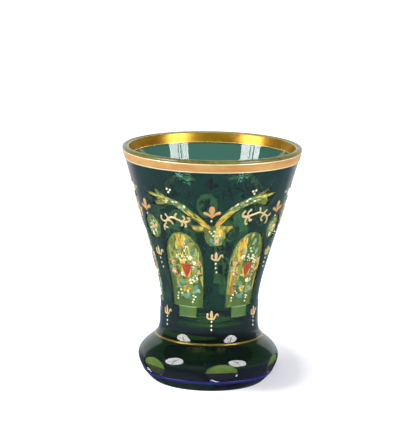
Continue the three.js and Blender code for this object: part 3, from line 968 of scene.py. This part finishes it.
# Each stroke: points (x, z) in millimetres about the motif's place, then the widths along it
palmetteStrokes = [
    ([(-0.3, -1.7), (-0.35, -0.4), (-0.4, 1.2), (-0.42, 2.6), (-0.42, 4.7)], (0.7, 1, 1.8, 3, 2.8, 1.9)),
    ([(-0.3, -1), (-2.1, 0.2), (-3.4, 0.8), (-4.6, 1.1)], (0.8, 1.1, 1.6, 1.8)),
    ([(-0.2, -1), (1.2, 0.2), (2.5, 1), (4, 1.2)], (0.8, 1, 1.6, 2)),
]
tridentStrokes = [
    ([(0, -1.7), (-0.1, 0), (-0.1, 2.5)], (0.9, 1.7, 1.4, 0.4)),
    ([(0, -1.9), (-1.4, -1.7), (-2.2, -0.9), (-2.1, 0), (-2, 0.5), (-2.4, 1)], (0.9, 0.9, 1)),
    (
        [
            (0, -1.9), (1, -1.8), (1.7, -0.7), (2.2, 0.4), (2.7, 0.8), (3.1, 0.3), (3.3, -0.4),
        ],
        (0.9, 0.8, 0.7),
    ),
]
leftScrollStrokes = [
    (
        [
            (-7.3, -2.1), (-5, -0.4), (-2.8, 0.1), (0.4, -1), (2.6, -1.6), (4.5, -1.6), (6, -0.8),
            (6, 0.4), (5, 0.6),
        ],
        (1.1, 1.1, 1),
    ),
    ([(-7.3, -2.2), (-9, -2.4), (-10.2, -1.2), (-9.8, 0.5)], (1, 0.8, 1.2)),
    ([(-5.7, -1.1), (-6.3, 0.3), (-7.4, 1.5)], (1, 0.8, 1.1)),
    ([(-1.6, -0.2), (-1.5, 1.2), (-0.4, 2.5)], (1.1, 0.9, 1)),
    ([(2.3, -1.4), (3.6, -0.2), (3.3, 0.9), (2.4, 1.4)], (1, 0.7, 1)),
    ([(-7.2, -2), (-7.5, -3.4), (-9.1, -5), (-8.8, -7.4)], (1, 0.9, 0.8)),
    ([(-8.8, -4.5), (-7.8, -5.6), (-6.4, -5.5)], (1, 0.8, 1)),
    ([(-6.4, -1.6), (-4.3, -2), (-3.1, -3.6)], (1.1, 0.9, 1)),
    ([(1, -1.2), (2.2, -2.5), (1.5, -4.1)], (1, 0.8, 1.2)),
    ([(3.2, -1.6), (4.1, -3), (3.6, -4.6)], (0.9, 0.8, 1.7)),
]
rightScrollStrokes = [
    ([(-2.4, 1.5), (-0.7, 2), (1.9, 2.6), (4, 3), (6.9, 1.8), (9.4, 0.4)], (1.2, 0.9, 1.1)),
    ([(-2.4, 1.5), (-5, 1.4), (-5.8, 2.8), (-4.5, 4.7)], (1.2, 1.4, 1)),
    ([(-2.6, 1.4), (-3.1, 3.4), (-1.2, 5.2)], (1.1, 0.9, 1.2)),
    ([(3.6, 2.8), (4, 4.1), (3.4, 5.7)], (1, 0.9, 1.3)),
    ([(6.7, 1.8), (7.4, 2.8), (8.7, 3.9)], (1.2, 0.9, 0.8)),
    ([(9, 0.5), (11, 0.5), (12, 1.7)], (0.8, 0.7, 0.8)),
    ([(-2.6, 1.5), (-3.9, -0.3), (-3.5, -2.5), (-2.4, -2.2)], (1, 0.9, 1)),
    ([(-2.1, 1.2), (-1.6, -0.9), (-0.1, -0.2)], (1.1, 1.1, 0.9)),
    ([(6.9, 1.6), (5.4, 0), (6, -1.6), (6.9, -1.2)], (1, 0.8, 0.8)),
    ([(9.3, 0.5), (10.2, -1.8), (9, -3.6)], (1, 1, 0.8)),
]


def stroke(points, widths, lift, sink):
    # A curve carries a domed section whose width follows the list of widths and closes in a half circle
    # at both ends. Gives x, z and lift for a grid of rows along the curve.
    share = (1 - np.cos(np.linspace(0.02, np.pi - 0.02, 4 + 3 * len(points)))) / 2
    line = spline(points, 64)
    run = lengthAlong(line)
    at = share * run[-1]
    centre = np.stack([np.interp(at, run, line[:, i]) for i in (0, 1)], 1)
    way = unit(np.gradient(centre, axis=0))
    half = np.interp(share, np.linspace(0, 1, len(widths)), widths) / 2
    end = np.clip(np.minimum(at, run[-1] - at) / half, 0, 1)
    rounded = np.sqrt(np.clip(1 - (1 - end) ** 2, 0, 1))[:, None]
    t = np.linspace(0, np.pi, 6)
    across = half[:, None] * rounded * np.concatenate([np.cos(t), [-0.6, 0.6]])
    raised = np.concatenate([np.sin(t) ** 0.8 * lift - sink * 0.2, [-sink, -sink]])
    x, z = centre[:, :1] - way[:, 1:] * across, centre[:, 1:] + way[:, :1] * across
    return x, z, raised * np.clip(rounded, 0.3, 1)


def strokesOnWall(strokes, turn, middle, shift=0.0, depth=0.0):
    # Strokes laid on the wall about a place given by its angle and height
    parts = []
    for points, widths in strokes:
        x, z, h = stroke(points, widths, gilding["lift"], gilding["sink"])
        angle = math.radians(turn) + (x + shift) / wallRadius(middle)
        parts.append(skin(onWall(angle, z + middle, h - depth)))
    return joined(parts)


def dabs(places):
    # Small domed dabs of paint. Each row of places: angle, z, length, width, slant, point, height, depth.
    # Unit rings are pinched towards their ends by the point, stretched, slanted and laid on the wall.
    places = np.asarray(places, float)[:, :, None, None]
    turn, z, long, wide, slant, point, height, depth = (places[:, i] for i in range(8))
    t = np.linspace(0, 2 * np.pi, 8, endpoint=False)[None]
    ring = np.array([1.0, 0.72, 0.3])[:, None]  # share of the size, from the edge inwards
    dome = np.array([-0.15, 0.7, 1.0])[:, None]  # share of the height there
    along = ring * np.cos(t) * long / 2
    across = ring * np.sin(t) * (1 - point * np.abs(np.cos(t))) * wide / 2
    x = along * np.cos(slant) - across * np.sin(slant)
    up = along * np.sin(slant) + across * np.cos(slant)
    return skin(onWall(turn + x / wallRadius(z), z + up, height * dome - depth + 0 * x))


def goldFinish(name, colour, dark, metal, rough, worn, pale=None, edges=None):
    # Fired gold: brushed on in streaks, thinner in places, with fine scratches round the glass.
    # A band gets a painted highlight along its edges, below the first height and above the second.
    finish = Finish(name)
    brushed, patches = finish.noise(60, 4, (1, 1, 6)), finish.noise(160, 3)
    tone = finish.blend(finish.fade(brushed * 0.6 + patches * 0.4, 0.38, 0.62), dark, colour)
    if pale:
        z = finish.height()
        # Painted highlight: pale gold along the band's edges
        tone = finish.blend((z > edges[1]) + (z < edges[0]), tone, pale)
    fine = finish.noise(900, 2, (1, 1, 5))
    surface = finish.principled(
        Base_Color=tone,
        Metallic=metal,
        Roughness=patches * worn + rough,
        Normal=finish.bump(fine + patches, 0.15, 0.05),
    )
    return finish.show(surface)


rimEdgeHighlight, innerEdgeHighlight = srgb(250, 226, 184), srgb(238, 226, 140)
goldLooks = {  # colour, darker colour, metallic, roughness, wear, and for a band the painted highlight on its edges and the heights beyond which it lies
    "mattGold": (srgb(206, 158, 94), srgb(192, 133, 71), 0.45, 0.3, 0.25, rimEdgeHighlight, (114.1, 117.9)),
    "motifGold": (srgb(200, 160, 104), srgb(190, 132, 72), 0.35, 0.3, 0.2),
    "strokeGold": (srgb(210, 192, 140), srgb(198, 160, 104), 0.35, 0.3, 0.2),
    "brightGold": (srgb(156, 126, 18), srgb(148, 98, 12), 0.65, 0.2, 0.16, innerEdgeHighlight, (115.0, 119.5)),
    "lineGold": (srgb(196, 168, 92), srgb(160, 124, 52), 0.85, 0.16, 0.16),
    "creamDots": (srgb(252, 240, 214), srgb(240, 214, 170), 0.0, 0.25, 0.2),
}
gold = {name: goldFinish(name, *look) for name, look in goldLooks.items()}


def addBand(name, finish, line=outer, outwards=1):
    # Flat painted band with rounded edges, between two heights of a line that runs up the wall.
    # Its underside lies a hair inside the glass, so that the paint is seen through it as well.
    node, slot, low, high, lift = bands[name]
    length = lengthAlong(line)
    start, end = np.interp([low, high], line[:, 1], length)
    share = np.sin(np.linspace(-np.pi / 2, np.pi / 2, 20))
    at = start + (share + 1) / 2 * (end - start)
    place, way = (
        np.stack([np.interp(at, length, a[:, i]) for i in (0, 1)], 1) for a in (line, normalsAlong(line))
    )
    raised = 0.02 + lift * (1 - np.abs(share) ** 8) ** 0.5
    top, under = place + outwards * way * raised[:, None], place - outwards * way * 0.03
    addPiece(name, lathe(np.concatenate([top, under[::-1][1:-1]])), finish, node)


def buildGilding():
    g = gilding
    addBand("rimBand", gold["mattGold"])
    # The inner band runs from the cone up to the crest of the lip
    addBand("innerBand", gold["brightGold"], innerOutline()[8:34][::-1], -1)
    addBand("waistLine", gold["lineGold"])
    motifs = (
        ("palmette", "palmette", palmetteStrokes, "motifGold"),
        ("upperTrident", "upper_trident", tridentStrokes, "strokeGold"),
        ("lowerTrident", "lower_trident", tridentStrokes, "strokeGold"),
    )
    for i, turn in enumerate(g["motifTurns"], 1):
        for kind, node, strokes, tone in motifs:
            shape = strokesOnWall(strokes, turn, *g[kind])
            addPiece("%s%d" % (kind, i), shape, gold[tone], "gilt_%s_%d" % (node, i))
    for i, turn in enumerate(g["scrollTurns"], 1):
        strokes = leftScrollStrokes if i % 2 else rightScrollStrokes
        scroll = strokesOnWall(strokes, turn, g["scrollHeight"])
        addPiece("scroll%d" % i, scroll, gold["strokeGold"], "gilt_scroll_%d" % i)
    dots = []
    for turn in np.radians(g["motifTurns"]):
        dots += [(turn + x / wallRadius(z), z, *g["dot"]) for x, z in g["dots"]]
    for turn in medallions["winged"]:
        for side, away in zip((-1, 1), g["threesTurns"]):
            middle = math.radians(turn + away)
            places = [(middle + side * x / g["threesRadius"], z) for x, z in g["threes"]]
            dots += [(*place, *g["bigDot"]) for place in places]
    addPiece("giltDots", dabs(dots), gold["creamDots"])


buildGilding()
say("gilding laid")

# Enamel

enamel = {
    "teal": [srgb(122, 166, 142), srgb(96, 148, 128), srgb(148, 182, 150)],
    "white": [srgb(238, 238, 210), srgb(234, 228, 184)],
    "pink": [srgb(240, 178, 150), srgb(228, 140, 112)],
    "yellow": [srgb(246, 218, 90), srgb(238, 190, 56)],
    "green": [srgb(74, 120, 62), srgb(112, 150, 60)],
    "amber": [srgb(226, 190, 60), srgb(208, 166, 46), srgb(236, 210, 92)],
    "orange": [srgb(214, 130, 52), srgb(196, 108, 44)],
    "pale": [srgb(204, 206, 112), srgb(184, 190, 92)],
}
hearts = {
    "height": 61.6,
    "shift": 1.0,
    "strokes": [
        ([(-2.4, 3.0), (-1.1, -0.2), (-0.2, -4.0)], (0.8, 1.5, 0.5)),
        ([(2.8, 3.2), (1.2, -0.2), (-0.2, -4.0)], (0.8, 1.5, 0.5)),
        ([(0.1, 2.6), (0.1, 0.4), (-0.1, -2.8)], (3.6, 2.6, 0.8)),
        ([(-2.4, 2.9), (0.2, 2.6), (2.8, 3.1)], (0.8, 1.4, 0.8)),
    ],
    "ground": [([(-0.4, -4.6), (-0.2, 0), (-0.2, 3.2)], (4.6, 6.4, 6.2))],
    "red": (srgb(156, 66, 28), srgb(136, 48, 20), 0.2),
    "amber": (srgb(210, 176, 62), srgb(198, 132, 48), 0.25),
}
# Painted light: the blue colour fringe at the foot's lower edge
blueFringe = (srgb(22, 32, 122), srgb(14, 20, 80), 0.2)
toneSpread = (0.85, 1.1)  # each dab is between these shares of its colour
firing = 0.76  # every colour but white is this share as bright after firing
# Height at which the wall's radius is taken for each kind of painting
paintedAt = {"window": 62, "wing": 94.3, "disc": 81, "oval": 82.3}


def painted(colour, count):
    # That many picks from a colour's shades, each a little lighter or darker
    shades = np.array(enamel[colour])[dice.integers(0, len(enamel[colour]), count)]
    shades[:, :3] *= dice.uniform(*toneSpread, (count, 1)) * (1 if colour == "white" else firing)
    return np.clip(shades, 0, 1)


def enamelFinish():
    # Opaque enamel: its colour comes with the dab, a little uneven where the brush left less
    finish = Finish("paintedEnamel")
    uneven = finish.noise(700, 3)
    shade = finish.ramp(uneven, (0.3, grey(0.78)), (0.7, white))
    surface = finish.principled(
        Base_Color=finish.blend(1.0, finish.attribute("paint", "Color"), shade, "MULTIPLY"),
        Roughness=uneven * 0.25 + 0.22,
        Specular_IOR_Level=0.5,
        Normal=finish.bump(uneven, 0.2, 0.05),
    )
    return finish.show(surface)


def plainEnamel(name, colour, second, rough):
    # Brushed-on enamel with strokes up the glass
    finish = Finish(name)
    brushed = finish.noise(260, 3, (3, 3, 0.6))
    tone = finish.blend(finish.fade(brushed, 0.35, 0.65), colour, second)
    bumped = finish.bump(brushed, 0.2, 0.05)
    return finish.show(finish.principled(Base_Color=tone, Roughness=brushed * 0.2 + rough, Normal=bumped))


# Bouquet in a window: x from its middle, height, length, width, slant
bouquetLeaves = [
    (2.1, 76.2, 4, 2.6, 1.4), (-2, 71.5, 4.2, 2.6, 1.9), (4.7, 70.4, 4.4, 2.4, 1.2),
    (5.4, 62.4, 2.6, 2.2, 0.4), (-1.8, 54, 4.4, 3.2, 2.8), (5.2, 51.9, 4.6, 3, 0.9),
    (6.6, 50.4, 3.6, 2.6, 2.4), (4.4, 49.9, 3.4, 2.4, 0.2), (-0.6, 47.3, 4.8, 3.2, 2.9),
    (1, 48.6, 3.4, 2.4, 0.7), (-8.2, 62.2, 3, 2, 0.6), (-4.2, 52, 2.4, 1.8, 2.2),
    (3.4, 58, 2.4, 1.6, 0.6), (6, 67.2, 2.4, 1.4, 0.9),
]
bouquetFlowers = [  # x, height, radius, petals, heart
    (-6.8, 65.2, 1.6, "pink", "yellow"), (-6.3, 59.9, 1.9, "pink", "white"),
    (7.6, 65.6, 1.5, "pink", "yellow"), (7.5, 60.4, 1.3, "pink", "yellow"),
    (0.2, 51.4, 2, "amber", "orange"), (2.9, 55.5, 1.3, "white", "pink"),
    (-2.6, 68.4, 1.3, "white", "yellow"), (3.4, 67.9, 1.2, "white", "yellow"),
    (5.3, 65.4, 1.1, "white", "pale"), (-1.5, 59, 1, "white", "amber"),
]
bouquetBeads = [  # middle x, height, spread across, spread up, how many, colour
    (0.3, 67.9, 4.2, 1.6, 16, "white"), (-3.4, 57.6, 0.8, 1.6, 5, "pale"),
    (7.2, 62.6, 1.4, 4.4, 13, "pale"), (-6.2, 62.4, 1.4, 3.4, 10, "pale"),
    (1.6, 73, 1.2, 2.8, 8, "white"), (-5.6, 55.6, 1.1, 2, 6, "pink"), (5.6, 57, 1.6, 2.4, 9, "white"),
    (4.6, 63.8, 0.9, 3, 7, "white"),
]
bouquetTrails = [
    (-4.2, 50.2), (-3.4, 48.9), (-5.5, 48.4), (-6.3, 46.8), (-6.2, 45.4), (3.5, 47.7), (5, 47.2),
    (3.9, 45.9), (3.5, 44.5),
]
# Stain under the bouquets, brushed upwards, and pale painted highlights along the sides of the first kind's
# cuts: middle x, height, spread across, spread up, strokes, colour
stainStrokes = [
    [
        (-0.3, 77, 2.5, 3.4, 26, "amber"), (-1.2, 76.5, 1.6, 3.2, 5, "orange"),
        (3.2, 71.8, 0.7, 2.6, 7, "pale"), (7.6, 70.8, 0.4, 2.6, 4, "pale"),
        # painted highlights: the pale strokes at x 9.2 and -11 run along the cut's sides
        (9.2, 57.5, 0.6, 6.5, 10, "pale"), (-11, 49.6, 0.2, 2.2, 3, "pale"),
        (-9.4, 74, 0.8, 4, 5, "green"), (-1.6, 72.6, 2, 4.2, 18, "amber"),
        (-0.6, 67.4, 1.6, 3.6, 10, "amber"), (-2.6, 75, 0.8, 3.4, 4, "pale"),
    ],
    [
        (-4, 73, 2.4, 7, 44, "amber"), (-4.2, 74, 1.8, 5.5, 8, "orange"), (-6.6, 59, 1.9, 6, 20, "amber"),
        (-6.2, 53, 1, 4.5, 7, "orange"), (9.3, 62, 0.8, 4, 6, "amber"), (9.9, 51, 0.9, 6.5, 12, "amber"),
        (10.2, 54, 0.6, 6, 6, "orange"), (0.6, 79.2, 0.5, 1.4, 3, "pale"),
    ],
    [],
]


def overEllipse(x, z, spreadX, spreadZ, count):
    # Places thrown evenly over an ellipse
    way, far = dice.uniform(0, 2 * np.pi, count), np.sqrt(dice.uniform(0, 1, count))
    return zip(x + spreadX * far * np.cos(way), z + spreadZ * far * np.sin(way))


# Each painted row: x, z, length, width, slant, point, height, colour

def flower(x, z, radius, petals, heart):
    # Five petals at 0.62 of the radius round a small heart
    way = np.arange(5) * 2 * np.pi / 5 + dice.uniform(0, 1)
    out = 0.62 * radius
    petal = (radius, radius * 0.85)
    rows = [(x + out * math.cos(a), z + out * math.sin(a), *petal, a, 0, 0.18, petals) for a in way]
    return rows + [(x, z, radius * 0.6, radius * 0.6, 0, 0, 0.26, heart)]


def scatter(x, z, spreadX, spreadZ, count, size, colour, point=0.0, stretch=1.0):
    # Dabs thrown over an ellipse
    places = overEllipse(x, z, spreadX, spreadZ, count)
    sizes, slants = size * dice.uniform(0.75, 1.2, count), dice.uniform(0, np.pi, count)
    return [(*at, s * stretch, s, t, point, 0.22, colour) for at, s, t in zip(places, sizes, slants)]


def brushed(x, z, spreadX, spreadZ, count, colour):
    # Flat strokes up the glass over an ellipse
    places = overEllipse(x, z, spreadX, spreadZ, count)
    sizes, slants = dice.uniform(3, 5.5, count), math.pi / 2 + dice.normal(0, 0.08, count)
    return [(*at, s, 0.9, t, 0.3, 0.05, colour) for at, s, t in zip(places, sizes, slants)]


def bouquet(kind):
    # Everything painted in one window apart from the red heart, back to front
    rows = [row for stroke in stainStrokes[kind] for row in brushed(*stroke)]
    rows += scatter(0, 60, 7.2, 14.5, 34, 1.1, "green", 0.5, 2.0)
    rows += [(*leaf, 0.45, 0.14, "teal") for leaf in bouquetLeaves]
    rows += [row for plant in bouquetFlowers for row in flower(*plant)]
    rows += [row for *spread, colour in bouquetBeads for row in scatter(*spread, 0.75, colour)]
    rows += [(x, z, 1.1, 1.0, 0, 0, 0.3, "white") for x, z in bouquetTrails]
    shift = dice.normal(0, 0.2, (len(rows), 2))
    return [(x + dx, z + dz, *rest) for (x, z, *rest), (dx, dz) in zip(rows, shift)]


# Along each wing, millimetres across at the wing radius and height: the middle of its band, then its tips
wingMiddles = [
    [(-4, 85), (-8.8, 88.4), (-14, 92.3), (-18.8, 95.5), (-24.6, 97.5), (-29.5, 98.9)],
    [(1.4, 86), (2.6, 88), (6, 91.7), (10, 95), (14.5, 97.3), (20.6, 99), (26, 99.7)],
]
wingTips = [
    [(-33, 103.6), (-39.4, 100.2), (-34.6, 95.3)],
    [(28.4, 104.1), (33.2, 101.1), (28.8, 96.3)],
]
wingStages = [  # share of the way out, how many dabs, colours, length, width
    (0.12, 11, ("amber", "yellow", "orange"), 4.6, 0.8),
    (0.3, 9, ("amber", "green", "yellow"), 4.4, 0.8),
    (0.46, 9, ("teal", "green", "amber"), 3.2, 1),
    (0.62, 10, ("teal", "white", "pink"), 1.8, 1.1),
    (0.78, 10, ("teal", "white", "green"), 2.2, 1.1),
    (0.93, 7, ("amber", "green", "pale"), 4.2, 0.9),
]
# Long leaves towards each tip: share of the way, offset, width, colour
leafStrokes = [(0.5, -0.5, 1, "green"), (0.52, 0.4, 0.9, "amber"), (0.4, 0, 0.7, "pale")]
# In the medallions: x, height, length, width, slant, point, height of the dab, colour
discLeaves = [
    (-1.8, 77.6, 3.4, 2.3, 1.9, 0.4, 0.14, "teal"), (2.9, 78.6, 3.2, 2.2, 0.9, 0.4, 0.14, "teal"),
    (0.4, 76.4, 2.6, 2, 0.2, 0.4, 0.12, "teal"), (-3.4, 79.2, 2.6, 1.4, 1.3, 0.4, 0.12, "green"),
]
discDots = [(-0.4, 82.8), (-1.9, 81.7), (-0.9, 80.4), (0.9, 80.2), (2.4, 80.7), (-2.8, 82.6)]
ovalLeaves = [
    (-1, 84.6, 3.4, 1.9, 2.1, 0.4, 0.12, "teal"), (1.6, 80.4, 3.8, 2.4, 0.9, 0.4, 0.12, "teal"),
    (-2.2, 79.6, 2.8, 1.7, 2.4, 0.4, 0.12, "teal"), (2.4, 84.4, 2.6, 1.4, 0.8, 0.4, 0.1, "green"),
]


def sideways(way):
    # A right angle to the left of the way: (-z, x), divided by its length
    return np.array([-way[1], way[0]]) / np.linalg.norm(way)


def wingPaint(kind):
    # Streaks along a wing from its root, then a leafy stretch, then long leaves out to its three tips
    line = spline(wingMiddles[kind], 100)
    rows = []
    for share, count, colours, long, wide in wingStages:
        for i in range(count):
            at = int(np.clip((share + dice.uniform(-0.1, 0.1)) * 100, 0, 98))
            way = line[at + 1] - line[at]
            x, z = line[at] + sideways(way) * dice.uniform(-1.3, 1.3)
            rows.append((x, z, long, wide, math.atan2(way[1], way[0]), 0.3, 0.1, colours[i % len(colours)]))
    for tip in wingTips[kind]:
        way = np.array(tip) - line[-1]
        long, slant = float(np.linalg.norm(way)) * 0.85, math.atan2(way[1], way[0])
        for share, off, wide, colour in leafStrokes:
            x, z = line[-1] + way * share + sideways(way) * off
            rows.append((x, z, long, wide, slant, 0.5, 0.1, colour))
    return rows


def discPaint():
    # White spray, yellow flower and teal leaves in a winged medallion, streaks in its two corner leaves
    rows = brushed(0, 80.5, 4.2, 3.6, 10, "pale") + brushed(2.4, 82.6, 2.2, 1.6, 8, "amber")
    rows += discLeaves
    rows += flower(2.2, 82.6, 1.4, "yellow", "white") + flower(0.8, 78.0, 1.2, "pink", "yellow")
    rows += [(x, z, 1.0, 0.9, 0, 0, 0.3, "white") for x, z in discDots]
    for left, right, z in ((-13.2, -5.0, 84.2), (4.2, 9.6, 84.6)):
        for i, x in enumerate(np.arange(left, right, 0.75)):
            rows.append((x, z, 2.6, 0.7, 1.4, 0.3, 0.1, ("yellow", "amber", "orange", "pale")[i % 4]))
    return rows


def ovalPaint():
    # Small spray in a plain medallion
    rows = brushed(0, 82.3, 4.4, 3.8, 6, "pale") + ovalLeaves
    rows += flower(0.2, 82.2, 1.4, "pink", "yellow") + flower(-1, 78.3, 1.1, "white", "pink")
    rows += scatter(0, 82.4, 3.6, 4, 16, 0.7, "white")
    return rows + scatter(0, 82, 4, 4.6, 12, 0.9, "green", 0.5, 1.8)


def onGlass(rows, turn, radiusHeight, depth):
    # Painted rows at a place on the wall, as dabs with their colours
    angles = math.radians(turn) + np.array([row[0] for row in rows]) / wallRadius(radiusHeight)
    places = [(angle, *row[1:7], depth) for angle, row in zip(angles, rows)]
    return places, np.concatenate([painted(row[7], 1) for row in rows])


def buildEnamel():
    casingDepth = glass["casing"] - glass["overlap"]
    depth = casingDepth + windows["deeper"]
    kinds = zip((0, 0, 1, 1, 2, 2), windows["turns"])
    bouquets = [onGlass(bouquet(kind), turn, paintedAt["window"], depth) for kind, turn in kinds]
    wingPaints, sprays = [], []
    for turn in medallions["winged"]:
        wingPaints += [onGlass(wingPaint(k), turn, paintedAt["wing"], casingDepth) for k in (0, 1)]
        sprays.append(onGlass(discPaint(), turn, paintedAt["disc"], casingDepth))
    for turn in medallions["plain"]:
        sprays.append(onGlass(ovalPaint(), turn, paintedAt["oval"], casingDepth))
    painting = {"windowBouquets": bouquets, "wingPainting": wingPaints, "medallionSprays": sprays}
    paintedEnamel = enamelFinish()
    for name, group in painting.items():
        places, tones = (np.concatenate(lists) for lists in zip(*group))
        shape = dabs(places)
        tones = np.repeat(tones, len(shape[0]) // len(tones), axis=0)
        addPiece(name, shape, paintedEnamel, colours=tones)
    where = (hearts["height"], hearts["shift"])
    red = plainEnamel("heartEnamel", *hearts["red"])
    for i, turn in enumerate(windows["turns"], 1):
        shape = strokesOnWall(hearts["strokes"], turn, *where, depth - 0.15)
        addPiece("heart%d" % i, shape, red, "red_heart_%d" % i)
    grounds = [strokesOnWall(hearts["ground"], turn, *where, depth + 0.12) for turn in windows["turns"]]
    addPiece("heartGrounds", joined(grounds), plainEnamel("amberEnamel", *hearts["amber"]))
    # Painted light: the blue fringe at the foot's lower edge, as a ring
    addBand("blueFringeRing", plainEnamel("blueFringePaint", *blueFringe))


buildEnamel()
say("enamel painted")
